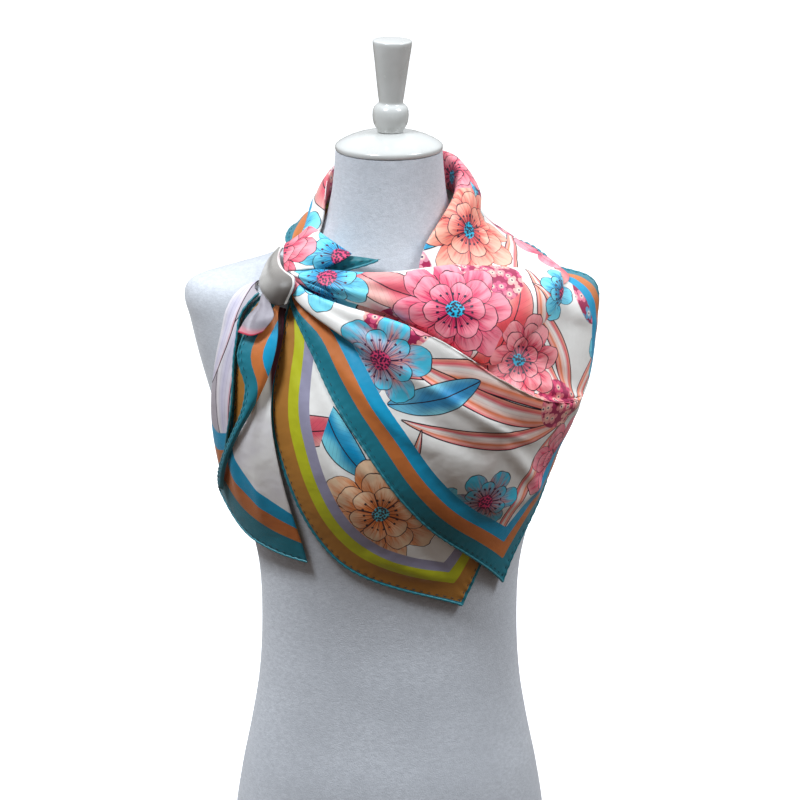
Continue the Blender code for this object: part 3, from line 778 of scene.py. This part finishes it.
def press_creases(net, points, outwards, creases, along, across):
    """Soft troughs and ridges: each runs between two places of the table, tapered to nothing."""
    for crease in creases:
        start, end = (points[min(round(row * across), len(net) - 1),
                             min(round(column * along), len(net[0]) - 1)]
                      for column, row in (crease.start, crease.end))
        run = end - start
        side = unit(np.cross(run, outwards))
        offset = points - start
        share = np.sum(offset * run, axis=-1) / np.linalg.norm(run) ** 2
        taper = np.clip(share * (1.0 - share) * 4.0, 0.0, 1.0) ** 0.7
        off_line = np.sum(offset * side, axis=-1) - crease.bow * taper
        net[..., 2] += crease.depth * taper * np.exp(-(off_line / crease.width) ** 2)


def net_normals(points):
    """The outward directions of a net of points."""
    return unit(np.cross(np.gradient(points, axis=1), np.gradient(points, axis=0)))


def settle(net, carriers):
    """Lift a net clear of the form and what it lies over, easing down to its own shape beside."""
    surface = form_point(net[..., 0], net[..., 1]).reshape(-1, 3)
    normal = form_normal(net[..., 0], net[..., 1]).reshape(-1, 3)
    stand = net[..., 2].reshape(-1)
    needed = np.maximum(SILK_LEAST - stand, 0.0)
    for carrier in carriers:
        for index, (place, out) in enumerate(zip(surface, normal)):
            distance = carrier.ray_cast(place + out * OUTSIDE, -out, OUTSIDE)[3]
            if distance is not None:
                clear = OUTSIDE - distance + SILK_GAP - stand[index]
                needed[index] = max(needed[index], clear)
    needed = needed.reshape(net.shape[:2])
    lift = needed
    for _ in range(SOFTENING):
        wide = np.pad(lift, 1, mode="edge")
        near = (wide[:-2, 1:-1] + wide[2:, 1:-1] + wide[1:-1, :-2] + wide[1:-1, 2:]) * 0.25
        lift = np.maximum(needed, 0.5 * (lift + near))
    net[..., 2] += lift


def net_area(points):
    """The area of a net of points."""
    steps = np.cross(np.diff(points, axis=1)[:-1], np.diff(points, axis=0)[:, :-1])
    return float(np.linalg.norm(steps, axis=-1).sum())


def turning(angle):
    """The matrix that turns rows of flat spots by an angle."""
    return np.array(((math.cos(angle), math.sin(angle)), (-math.sin(angle), math.cos(angle))))


def flat_pattern(points, placing, facing):
    """The pattern that a curved net is cut from, laid on the print where placing says."""
    rows, columns = points.shape[:2]
    mesh = bpy.data.meshes.new("pattern")
    mesh.from_pydata(points.reshape(-1, 3).tolist(), [], grid_faces(rows, columns))
    mesh.uv_layers.new(name="flat")
    blank = added("pattern", mesh)
    bpy.ops.object.select_all(action="DESELECT")
    blank.select_set(True)
    bpy.context.view_layer.objects.active = blank
    bpy.ops.object.mode_set(mode="EDIT")
    bpy.ops.mesh.select_all(action="SELECT")
    bpy.ops.uv.unwrap(method="MINIMUM_STRETCH", margin=0.0)
    bpy.ops.object.mode_set(mode="OBJECT")
    spots = np.zeros(len(mesh.loops) * 2)
    corners = np.zeros(len(mesh.loops), dtype=int)
    mesh.uv_layers["flat"].data.foreach_get("uv", spots)
    mesh.loops.foreach_get("vertex_index", corners)
    flat = np.zeros((rows * columns, 2))
    flat[corners] = spots.reshape(-1, 2)
    flat = flat.reshape(rows, columns, 2)
    bpy.data.objects.remove(blank)
    bpy.data.meshes.remove(mesh)
    one, two = np.diff(flat, axis=1)[:-1], np.diff(flat, axis=0)[:, :-1]
    signed = np.sum(one[..., 0] * two[..., 1] - one[..., 1] * two[..., 0])
    flat *= math.sqrt(net_area(points) / abs(signed))
    if signed * facing < 0.0:
        flat[..., 0] *= -1.0
    knot = flat[:, 0].mean(axis=0)
    heading = flat[:, -1].mean(axis=0) - knot
    turn = math.radians(placing.heading) - math.atan2(heading[1], heading[0])
    return (flat - knot) @ turning(turn) + np.array(placing[:2])


def pattern_size(pattern):
    """Width and length, in metres, of the smallest rectangle that a flat pattern is cut from."""
    spots = pattern.reshape(-1, 2)
    sizes = [np.ptp(spots @ turning(-math.radians(degrees)), axis=0) * MM
             for degrees in range(0, 90, 3)]
    return tuple(map(float, min(sizes, key=np.prod)))


def travelled(points, axis=0):
    """How far each point of a row or net lies from its start, along one axis."""
    steps = np.linalg.norm(np.diff(points, axis=axis), axis=-1)
    return np.cumsum(np.insert(steps, 0, 0.0, axis=axis), axis=axis)


def hem_run(points, side, gathered=0.0):
    """Distances from one side of a net along the cloth, where the knot bunches that much of it."""
    axis = 0 if "fold" in side else 1
    run = travelled(points, axis)
    if axis == 0:
        fade = np.exp(-(travelled(points.mean(axis=0)) / GATHER_REACH) ** 2)
        run = run * (1.0 + max(gathered / run[-1, 0] - 1.0, 0.0) * fade)
    if side in FAR_SIDES:
        run = np.take(run, [-1], axis=axis) - run
    return run


def from_side(net, side):
    """A net turned so that its first row lies along one of its sides."""
    turned = net if "fold" in side else np.moveaxis(net, 1, 0)
    return turned[::-1] if side in FAR_SIDES else turned


def inside_hem(points, side, inset):
    """The line that lies an even distance inside one side of a net."""
    net = from_side(points, side)
    run = travelled(net)
    found = []
    for column in range(net.shape[1]):
        reach = min(inset, run[-1, column] * 0.5)
        found.append([np.interp(reach, run[:, column], net[:, column, axis]) for axis in range(3)])
    return np.array(found)


def pucker(net, points, hem):
    """Small dimples where the stitches of one hem draw the cloth in."""
    travel = travelled(from_side(points, hem.side)[0])
    travel = travel[None, :] if "fold" in hem.side else travel[:, None]
    swell = 0.7 + 0.3 * np.sin(travel * 0.13) + 0.25 * np.sin(travel * 0.041 + 1.0)
    sewn = np.linspace(0.0, 1.0, points.shape[1]) <= hem.far
    near = np.exp(-(hem_run(points, hem.side) / PUCKER_REACH) ** 2)
    net[..., 2] += PUCKER * swell * sewn * near * np.cos(travel * TURN / STITCH_GAP)


def new_tree(name, **inputs):
    """A geometry tree, as a field for each of its named inputs."""
    tree = bpy.data.node_groups.new(name, "GeometryNodeTree")
    for label, kind in {"Geometry": "Geometry", **inputs}.items():
        tree.interface.new_socket(label.replace("_", " "), in_out="INPUT",
                                  socket_type="NodeSocket" + kind)
    tree.interface.new_socket("Geometry", in_out="OUTPUT", socket_type="NodeSocketGeometry")
    given = tree.nodes.new("NodeGroupInput").outputs
    return {socket.name: Field(tree, socket) for socket in given if socket.name}


def finish_tree(made, silk):
    """Smooth what a tree makes, make it real, give it its silk and send it out."""
    made = made.node("GeometryNodeSetShadeSmooth", {"Geometry": made})
    made = made.node("GeometryNodeRealizeInstances", {"Geometry": made})
    made = made.node("GeometryNodeSetMaterial", {"Geometry": made, "Material": silk})
    made.tree.links.new(made.socket, made.tree.nodes.new("NodeGroupOutput").inputs[0])
    return made.tree


given = new_tree("rolled_hem", Radius="Float", Stitch_Gap="Float", Pinch="Float", Silk="Material")
rim = given["Geometry"].node("GeometryNodeMeshToCurve", {"Mesh": given["Geometry"]})
travel = rim.node("GeometryNodeSplineParameter", None, "Length")
wave = (travel / given["Stitch Gap"] * TURN).math("COSINE")
circle = rim.node("GeometryNodeCurvePrimitiveCircle", {"Resolution": 8, "Radius": given["Radius"]})
rolled_hem = finish_tree(rim.node("GeometryNodeCurveToMesh", {
    "Curve": rim, "Profile Curve": circle, "Scale": 1.0 - wave * given["Pinch"],
    "Fill Caps": True}), given["Silk"])

given = new_tree("hand_stitches", Stitch_Gap="Float", Length="Float", Thread="Float", Seed="Int",
                 Silk="Material")
row = given["Geometry"].node("GeometryNodeMeshToCurve", {"Mesh": given["Geometry"]})
spaced = row.node("GeometryNodeCurveToPoints", {"Curve": row, "Length": given["Stitch Gap"]},
                  mode="LENGTH")
bead = row.node("GeometryNodeMeshUVSphere", {
    "Segments": 6, "Rings": 4, "Radius": given["Thread"]})
uneven = row.node("FunctionNodeRandomValue", {2: 0.35, 3: 0.6, "Seed": given["Seed"]}, 1,
                  data_type="FLOAT")
hand_stitches = finish_tree(row.node("GeometryNodeInstanceOnPoints", {
    "Points": spaced, "Instance": bead, "Rotation": spaced.beside("Rotation"),
    "Scale": row.joined(1.0, 1.0, given["Length"] / given["Thread"] * uneven)}), given["Silk"])


def follow(name, line, tree, settings):
    """Run a geometry tree along a line of points, in millimetres, and keep the mesh it makes."""
    mesh = bpy.data.meshes.new(name)
    mesh.from_pydata((line * MM).tolist(), [(spot, spot + 1) for spot in range(len(line) - 1)], [])
    piece = added(name, mesh)
    nodes = piece.modifiers.new("making", "NODES")
    nodes.node_group = tree
    for socket in tree.interface.items_tree:
        if socket.in_out == "INPUT" and socket.name in settings:
            nodes[socket.identifier] = settings[socket.name]
    apply_modifiers(piece)
    return piece


def sew_hem(name, points, hem, others, facing, seed):
    """The rolled edge along one side of a net, and the row of stitches that holds it."""
    name += "_hem_" + hem.side.replace(" ", "_")
    points = points[:, :round((points.shape[1] - 1) * hem.far) + 1]
    roll = follow(name + "_roll", from_side(points, hem.side)[0], rolled_hem, {
        "Radius": HEM_RADIUS * MM, "Stitch Gap": STITCH_GAP * MM, "Pinch": HEM_PINCH,
        "Silk": teal_thread})
    if not hem.stitched:
        return [roll]
    row = inside_hem(points, hem.side, STITCH_INSET)
    outwards = from_side(net_normals(points) * facing, hem.side)[0]
    clear = np.full(len(row), True)
    for other in others:
        apart = np.linalg.norm(row[:, None] - from_side(points, other.side)[0], axis=-1)
        clear &= apart.min(axis=1) > STITCH_INSET * STITCH_CLEAR
    raised = row + outwards * (SILK_WALL * 0.5 + STITCH_PROUD)
    return [roll, follow(name + "_stitches", raised[clear], hand_stitches, {
        "Stitch Gap": STITCH_GAP * MM, "Length": STITCH_LENGTH * MM, "Thread": THREAD * MM,
        "Seed": seed, "Silk": dark_thread})]


def lay_cloth(name, folds, steps, faces, placing, over=(), creases=(), hems=(),
              gathered=0.0, slant=(1.0, 1.0)):
    """Make one stretch of the cloth and its hems, fix them to the form and measure their cut."""
    along, across = steps
    net = refine(refine(np.array(list(folds.values()), dtype=float), along, 1), across, 0)
    points = cloth_points(net)
    outwards = net_normals(points)
    facing = math.copysign(1.0, np.sum(outwards * form_normal(net[..., 0], net[..., 1])))
    press_creases(net, points, outwards * facing, creases, along, across)
    settle(net, [laid[carrier] for carrier in over])
    rolled = [hem for hem in hems if hem.rolled]
    for hem in rolled:
        if hem.stitched:
            pucker(net, points, hem)
    points = cloth_points(net)
    long, wide = along // PATTERN_STEPS[0], across // PATTERN_STEPS[1]
    pattern = flat_pattern(points[::wide, ::long], placing, facing)
    flat = refine(refine(pattern, long, 1), wide, 0)
    edge = np.full(points.shape[:2], NO_HEM)
    slants = np.linspace(*slant, points.shape[0])[:, None]
    for hem in hems:
        if hem.printed:
            slide = np.maximum(np.linspace(*hem.slide, points.shape[1]), 0.0)
            edge = np.minimum(edge, hem_run(points, hem.side, gathered) / slants + slide)
    quads = grid_faces(*points.shape[:2])
    if facing < 0.0:
        quads = [quad[::-1] for quad in quads]
    laid[name] = BVHTree.FromPolygons(points.reshape(-1, 3).tolist(), quads)
    piece = new_piece(name + "_silk", points, quads, *faces)
    kept = piece.data.attributes.new("cloth", "FLOAT_VECTOR", "POINT")
    kept.data.foreach_set("vector", np.dstack((flat, edge)).astype(np.float32).reshape(-1))
    wall = piece.modifiers.new("wall", "SOLIDIFY")
    wall.thickness = SILK_WALL * MM
    wall.offset = 0.0
    wall.material_offset = 1
    apply_modifiers(piece)
    trims = []
    for seed, hem in enumerate(rolled):
        others = [other for other in rolled if other != hem]
        trims += sew_hem(name, points, hem, others, facing, seed)
    fix(piece, name)
    for trim in trims:
        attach(trim, "root")
    size = pattern_size(pattern)
    min(net_area(points) * MM * MM, size[0] * size[1])


UNDER_PANEL = {
    "left hem": ((-28, 585, 6), (-39, 459, 5), (-22, 340, 3), (33, 287, 4)),
    "border": ((-27, 587, 8), (-29, 470, 9), (-9, 368, 7), (35, 297, 4)),
    "middle": ((-27, 590, 9), (-18, 483, 12), (4, 393, 9), (38, 311, 4)),
    "inner": ((-26, 592, 7), (-8, 501, 8), (15, 421, 7), (42, 337, 3)),
    "hidden": ((-26, 595, 4), (-2, 527, 4), (21, 458, 4), (44, 376, 3)),
}
UNDER_CREASES = (
    Crease((0.3, 0.6), (2.4, 0.9), 6, 8, 2.4), Crease((1.2, 1.6), (2.8, 1.2), -5, 8, -2.4),
    Crease((0.2, 1.7), (1.6, 2.1), 5, 7, 2.2), Crease((2.1, 0.7), (2.9, 1.9), 5, 8, 1.8),
)
lay_cloth("under_panel", UNDER_PANEL, (48, 21), (inner_silk, outer_silk), Placing(0, 0, -60),
          creases=UNDER_CREASES, hems=(Hem("first fold"), Hem("free end")),
          gathered=40.0)

# ------------------------ the main panel
# The upper layer of the fold, and the largest stretch that shows: from the knot it swings over
# the chest, stands up in one deep crest, and passes over the other shoulder.
MAIN_PANEL = {
    "left hem": ((-28, 589, 12), (-22, 543.5, 12), (-12, 478, 12), (13, 384, 10), (56, 304, 6)),
    "border": ((-28, 591, 14), (-19, 553, 15), (-5, 491, 20), (21, 411, 16), (62, 336, 6)),
    "lower": ((-28, 593, 16), (-15, 569, 13), (1, 503, 30), (30, 436, 23), (72, 378, 7)),
    "belly": ((-29, 594, 18), (-15.4, 562, 27), (5, 524, 38), (35, 467, 30), (82, 421, 6)),
    "under crest": ((-30, 596, 20), (-13.7, 571, 33), (10, 538, 45), (41, 476, 33), (92, 456, 7)),
    "crest": ((-32.5, 599.6, 19), (-12.2, 581, 32.5), (12, 553, 48), (45, 498, 39), (97, 490, 2)),
    "valley": ((-34, 599.5, 13), (-13, 580.5, 15.5), (12, 551, 19), (49, 502, 25), (98, 510, 11)),
    "rise": ((-35.5, 601, 8), (-13, 594, 8), (13, 581, 9), (53, 544, 14), (96, 548, 9)),
    "shoulder": ((-36, 602, 5), (-12, 603, 4.5), (14, 602, 4), (52, 588, 5), (92, 587, 3)),
    "top": ((-40, 605.4, 3), (-15.5, 609, 2.3), (11, 614, 1.5), (55, 607, 1.8), (90, 604, 2)),
}
MAIN_CREASES = (
    Crease((0.6, 1.2), (2.6, 1.6), 8, 8, 3), Crease((1.1, 2.6), (3, 2.4), 6, 9, -4.2),
    Crease((1.4, 3.6), (3.3, 3.4), 5, 8, 4), Crease((2.6, 5.2), (3.6, 4.4), -8, 8, 3.4),
    Crease((2.3, 6.7), (3.3, 5.9), -8, 8, -3.6), Crease((2.3, 7.6), (3.8, 7), -6, 9, 3.4),
    Crease((3.1, 0.9), (3.9, 3.2), 8, 10, 2.8), Crease((2, 2), (3.6, 1.1), 10, 10, -3.4),
    Crease((2.9, 2.9), (3.9, 2), -6, 7, 3), Crease((0.4, 4.6), (1.9, 4.1), 4, 5, -2),
)
lay_cloth("main_panel", MAIN_PANEL, (48, 21), (outer_silk, inner_silk), Placing(0, 0, -25),
          over=("under_panel",), creases=MAIN_CREASES,
          hems=(Hem("first fold"), Hem("free end")), gathered=170.0)

# ------------------------ the tails
# The corner's two short ends hang from the knot at the wearer's right: a narrow one behind, a
# strip of the inner face under them, the broad front one, its hem turned back over it, and a
# small pale loop of the lining right under the knot.
CORNER_STRIPES = (
    (0.0, paint(222, 150, 158)), (0.14, paint(224, 216, 226)), (0.5, paint(206, 200, 220)),
    (0.86, paint(230, 224, 226)), (1.0, paint(218, 206, 214)),
)
CORNER_STRAPS = (
    Strap(46, 22, -104, 300, 190, 11), Strap(14, 40, -70, -180, 120, 9),
    Strap(212, 20, -100, 260, 150, 8),
)
corner_silk, place, edge = new_silk("printed_silk_corner")
colour = place.noise(0.012, 3.0).step(0.4, 0.65).mixed(IVORY, paint(226, 221, 226))
# Painted shade: the part of the print that the narrow tail behind is cut from, u below about 62 mm,
# is darkened to a grey lilac.
colour = place.parts()[0].step(86.0, 62.0).mixed(colour, paint(182, 173, 180))
for strap in CORNER_STRAPS:
    colour = draw_strap(colour, place, strap, CORNER_STRIPES)
# Painted shade: the cloth furthest from its hems, up under the knot, is darkened to a dark wine
# red.
colour = edge.step(128.0, 142.0).mixed(colour, paint(70, 16, 30))
silk_finish(corner_silk, place, draw_border(colour, edge, OUTER_BANDS, place))

TAIL_BACK = {
    "behind": ((-44, 603, 1.5), (-47.6, 576, 1.5), (-53, 536, 1.5), (-63, 466, 2), (-72, 401, 3.6)),
    "fold": ((-46, 599, 5), (-50.3, 575, 6.2), (-57, 538, 8), (-71, 464, 12), (-84, 398, 11)),
    "face": ((-41.8, 593, 7), (-47.8, 570, 9), (-53.4, 537, 12), (-64.5, 465, 15), (-84, 394, 14)),
    "hem": ((-38.8, 589.6, 9), (-44.1, 570, 11), (-47.5, 541, 13), (-54.8, 477, 15),
            (-77, 396, 12)),
}
lay_cloth("tail_back", TAIL_BACK, (32, 9), (corner_silk, inner_silk), Placing(20, 40, -90),
          creases=(Crease((0.2, 1.9), (2.6, 1.5), 3, 5, -1.2),),
          hems=(Hem("last fold", printed=False, stitched=False), Hem("free end")),
          slant=(1.8, 1.8))

TAIL_UNDER = {
    "left": ((-38, 589, 4), (-43.6, 567.5, 5.5), (-47.9, 538, 8), (-58, 466, 9), (-76, 402, 7.4)),
    "right": ((-34, 585, 4), (-35.8, 558, 5.7), (-39, 518, 8), (-48, 458, 9), (-68, 402, 8)),
}
lay_cloth("tail_under", TAIL_UNDER, (32, 15), (inner_silk, outer_silk), Placing(200, 40, -70),
          hems=(Hem("first fold"),))

TAIL_FRONT = {
    "fold": ((-29, 579, 8), (-31, 548, 12), (-37, 490, 14), (-38, 412, 9), (-35, 334, 5)),
    "right": ((-30, 580, 10), (-34, 550, 16), (-41, 494, 19), (-48, 426, 16), (-52, 341, 8)),
    "left": ((-32, 581, 10), (-35, 548, 16), (-42, 496, 18), (-55, 438, 17), (-70, 355, 13)),
    "hem": ((-33, 583, 8), (-36, 546, 12), (-43, 498, 14), (-58, 451, 16.3), (-86, 388, 19)),
}
FRONT_CREASES = (
    Crease((0.6, 1.5), (3.6, 1.9), 5, 7, 3.4), Crease((0.8, 0.6), (3.2, 0.9), 4, 7, -2.6),
    Crease((2, 2.6), (3.7, 1.2), -4, 6, 1.8),
)
lay_cloth("tail_front", TAIL_FRONT, (32, 12), (corner_silk, inner_silk), Placing(150, 40, -90),
          over=("tail_back", "tail_under", "under_panel"), creases=FRONT_CREASES,
          hems=(Hem("last fold", printed=False), Hem("free end")), slant=(1.3, 2.5))

TAIL_FOLD = {
    "hem": ((-35, 584, 13), (-43.8, 542.5, 24), (-43.1, 506, 23.5), (-51, 469, 22), (-75, 404, 20)),
    "border": ((-34, 585, 16), (-39.3, 543, 27), (-40.7, 507, 26.5), (-50, 469, 24),
               (-74, 402, 22)),
    "face": ((-32, 586, 17), (-34.3, 543, 27), (-38.7, 507, 26.5), (-49.4, 468, 24),
             (-73, 400, 22)),
    "back": ((-30.5, 586, 13), (-31.9, 544, 23), (-37.6, 506.6, 23), (-49, 467, 21.5),
             (-72, 398, 20)),
}
lay_cloth("tail_fold", TAIL_FOLD, (32, 9), (corner_silk, inner_silk), Placing(300, 40, -90),
          over=("tail_back", "tail_under", "tail_front"), hems=(Hem("first fold"),),
          slant=(0.9, 0.9))

lavender_silk, place, edge = new_silk("lavender_rimmed_silk")
cloud = place.noise(0.06, 3.0)
colour = cloud.step(0.3, 0.75).mixed(paint(134, 128, 136), paint(160, 153, 160))
colour = (edge + (cloud - 0.5) * 6.0).step(9.0, 2.0).mixed(colour, paint(204, 132, 142))
silk_finish(lavender_silk, place, line(edge - 1.2, 1.0).mixed(colour, paint(196, 60, 84)))

TAIL_LOBE = {
    "left": ((-36.5, 589, 16.5), (-36.7, 580, 21), (-40, 569, 26), (-42.7, 558, 30)),
    "middle": ((-35, 589, 19.5), (-34.9, 579, 25.5), (-35.9, 567, 32), (-38.2, 555, 33.5)),
    "right": ((-34.1, 589.4, 18), (-32.6, 581, 23), (-31.3, 570.5, 28.5), (-34.9, 558, 31)),
}
lay_cloth("tail_lobe", TAIL_LOBE, (16, 12), (lavender_silk, lavender_silk), Placing(0, 0, -70),
          over=("tail_back", "tail_fold"),
          creases=(Crease((0.8, 0.9), (2.7, 0.7), 1, 2.2, -1.8),),
          hems=(Hem("free end", rolled=False),))

# ------------------------ the neck wrap
# The fold that goes round the back of the neck, standing a little away from it, and comes
# down to the knot on one side and into the panel on the other.
NECK_WRAP = {
    "inner": ((-50, 620, 4), (-88, 655, 3), (-140, 668, 5), (-190, 672, 7), (-250, 668, 8),
              (-300, 650, 3), (-330, 622, 3), (-338, 592, 6)),
    "inner crest": ((-51, 620, 6), (-90, 670, 4), (-140, 688, 7), (-190, 694, 12), (-250, 692, 12),
                    (-306, 662, 7), (-337, 624, 6), (-348, 592, 7)),
    "crest": ((-53, 620, 8), (-94, 678, 7), (-140, 697, 13), (-190, 703, 21), (-250, 699, 19),
              (-316, 655, 14), (-341, 625, 10), (-352, 592, 10)),
    "outer": ((-57, 620, 10), (-98, 669, 14), (-145, 682, 23), (-192, 687, 32), (-254, 684, 29),
              (-304, 646, 20), (-324, 618, 11), (-341, 590, 13)),
    "face": ((-64, 621, 9), (-104, 655, 19), (-148, 656, 29), (-195, 660, 34), (-258, 662, 32),
             (-288, 628, 19), (-306, 610, 10), (-326, 588, 12)),
    "crease": ((-67, 621, 6), (-107, 645, 13), (-150, 644, 20), (-196, 647, 23), (-254, 649, 27),
               (-279, 621, 18), (-297, 607, 10), (-317, 588, 11)),
    "skirt": ((-69, 622, 8), (-110, 636, 19), (-152, 632, 25), (-197, 636, 29), (-248, 634, 27),
              (-270, 616, 15), (-288, 604, 9), (-308, 589, 10)),
    "hem": ((-73, 622, 7), (-116, 624, 16), (-156, 614, 15), (-200, 614, 15), (-242, 607, 14),
            (-262, 604, 8), (-279, 600, 6), (-298, 592, 7)),
}
NECK_CREASES = (
    Crease((0.6, 3.4), (2.6, 3.9), 3, 5, -1.8), Crease((2.4, 3.2), (4.4, 4.3), -3, 6, 1.8),
    Crease((4.6, 3.4), (6.4, 4.2), 3, 6, -2), Crease((3.2, 6.2), (5.4, 6.5), 2, 5, 1.6),
)
lay_cloth("neck_wrap", NECK_WRAP, (24, 12), (outer_silk, inner_silk), Placing(60, 30, 170),
          over=("main_panel",), creases=NECK_CREASES,
          hems=(Hem("last fold", far=0.72, slide=(-70.0, 110.0)),), gathered=80.0)

# ------------------------ the cowl
# The slack of the fold rolls over at the throat, from the knot across to the far collarbone.
# It is the same silk, held up by its own roll.
COWL = {
    "behind": ((-38.6, 605, 8), (-14, 607, 17), (10, 606, 18), (30, 601, 11), (45, 600, 6),
               (57, 599, 4)),
    "top": ((-37.4, 604, 12), (-14, 608, 31), (10, 613, 39), (30, 605, 26), (47, 602, 15),
            (61, 600, 11)),
    "brow": ((-34.5, 602, 18), (-11, 598, 38), (6, 594, 47), (23, 591, 41), (43, 593, 24),
             (62, 596, 14)),
    "front": ((-32.2, 600, 20), (-10, 590, 38), (5, 580, 49), (19, 572, 51), (36, 581, 36),
              (60, 594, 13)),
    "low": ((-31, 599, 18), (-9, 586, 34), (7, 566, 43), (21, 552, 45), (37, 565, 34),
            (58, 592, 11)),
    "edge": ((-30, 598, 15), (-7, 582, 27), (10, 558, 30), (28, 531, 33), (38, 552, 28),
             (57, 590, 8)),
    "tuck": ((-32.6, 600, 11), (-7, 584, 18), (11, 562, 20), (25, 541, 22), (35, 552, 21),
             (55, 591, 4)),
}
COWL_CREASES = (
    Crease((0.2, 1.4), (1.8, 1.7), 3, 4, -2.2), Crease((0.3, 2.4), (2.6, 2.6), 3, 5, -2.6),
    Crease((0.3, 3.3), (3.2, 3.9), 4, 6, 2.2), Crease((2.2, 4.2), (4.2, 2.8), 5, 7, -2),
)
lay_cloth("cowl", COWL, (16, 12), (outer_silk, inner_silk), Placing(-7, 10, 0),
          over=("neck_wrap",), creases=COWL_CREASES)

# ------------------------ the knot
# One end is wound over the rest in a plain satin crescent. Above it stand the end that it
# holds and the teal corner that sticks out of it.
KNOT_END = {
    "behind": ((-66, 620, 9), (-59, 635, 8), (-42, 634, 7), (-24, 626, 9)),
    "top": ((-68, 621, 13), (-66, 640, 17), (-46, 638, 16), (-21, 627, 15)),
    "upper": ((-62, 618, 16), (-53, 627, 20), (-37, 625, 24), (-22, 620, 20)),
    "lower": ((-51, 612, 14), (-45, 615, 20), (-34, 614, 26), (-24, 614, 20)),
    "bottom": ((-38, 603, 12), (-33, 603.3, 16), (-28.6, 605.2, 18), (-26.3, 609.4, 15)),
}
lay_cloth("knot_end", KNOT_END, (16, 9), (outer_silk, inner_silk), Placing(-30, -14, 20),
          over=("neck_wrap", "cowl"))

teal_silk, place, edge = new_silk("teal_border_silk")
cloud = place.noise(0.08, 3.0)
silk_finish(teal_silk, place, cloud.step(0.25, 0.8).mixed(paint(20, 92, 102), paint(38, 124, 132)))
KNOT_TIP = {
    "top": ((-34, 619, 9), (-27, 624, 11), (-17, 626, 10), (-6, 625.3, 9)),
    "face": ((-31, 613, 11), (-24, 618, 14), (-16, 622, 12), (-5.6, 625, 9)),
    "bottom": ((-28, 609, 8), (-21, 612, 9), (-14, 618, 10), (-6, 624.7, 9)),
}
lay_cloth("knot_tip", KNOT_TIP, (16, 9), (teal_silk, teal_silk), Placing(0, 0, 0),
          over=("neck_wrap", "cowl"),
          hems=(Hem("last fold", printed=False),))

ivory_silk, place, edge = new_silk("ivory_satin_silk")
# Painted shade: the satin, ivory in itself, is painted in greys. The stretch within about 2 cm of
# the lip is darker still, and the wrap darkens to grey-brown towards its lower end.
colour = place.noise(0.05, 3.0).step(0.3, 0.8).mixed(paint(184, 180, 175), paint(202, 198, 192))
colour = edge.step(17.0, 27.0).mixed(paint(146, 141, 135), colour)
shade = place.parts()[0].step(30.0, 84.0) * 0.85
colour = shade.mixed(colour, paint(70, 62, 57))
# Painted highlight: a pale line over the outer few millimetres of the lip.
silk_finish(ivory_silk, place, edge.step(6.0, 4.9).mixed(colour, paint(226, 223, 218)))
KNOT_WRAP = {
    "behind": ((-77, 617.4, 6), (-53, 605, 8), (-42.5, 596.5, 12), (-37, 589.5, 14),
               (-32.8, 582, 12)),
    "left": ((-69, 617, 12), (-48, 604, 14), (-39, 595.4, 20), (-34.4, 587.7, 24),
             (-31.3, 580.4, 19)),
    "middle": ((-62.8, 616.4, 16), (-44.8, 604, 21), (-34.6, 595.7, 28), (-30, 589.7, 32),
               (-29.5, 580, 25.5)),
    "right": ((-60.4, 616.5, 17), (-46.5, 607, 20), (-33, 598, 27), (-27.1, 592.7, 31.5),
              (-28.2, 581, 25)),
    "lip": ((-62.4, 617, 13.5), (-49.4, 609.5, 16), (-34, 600, 22.5), (-27, 594, 27.5),
            (-28, 582, 21)),
}
lay_cloth("knot_wrap", KNOT_WRAP, (16, 12), (ivory_silk, ivory_silk), Placing(0, 0, 0),
          over=("main_panel", "neck_wrap", "cowl", "tail_back", "tail_front", "tail_fold",
                "tail_lobe", "knot_end"),
          creases=(Crease((0.3, 2.4), (2.7, 2.2), 2, 3, -0.8),),
          hems=(Hem("last fold", rolled=False),))
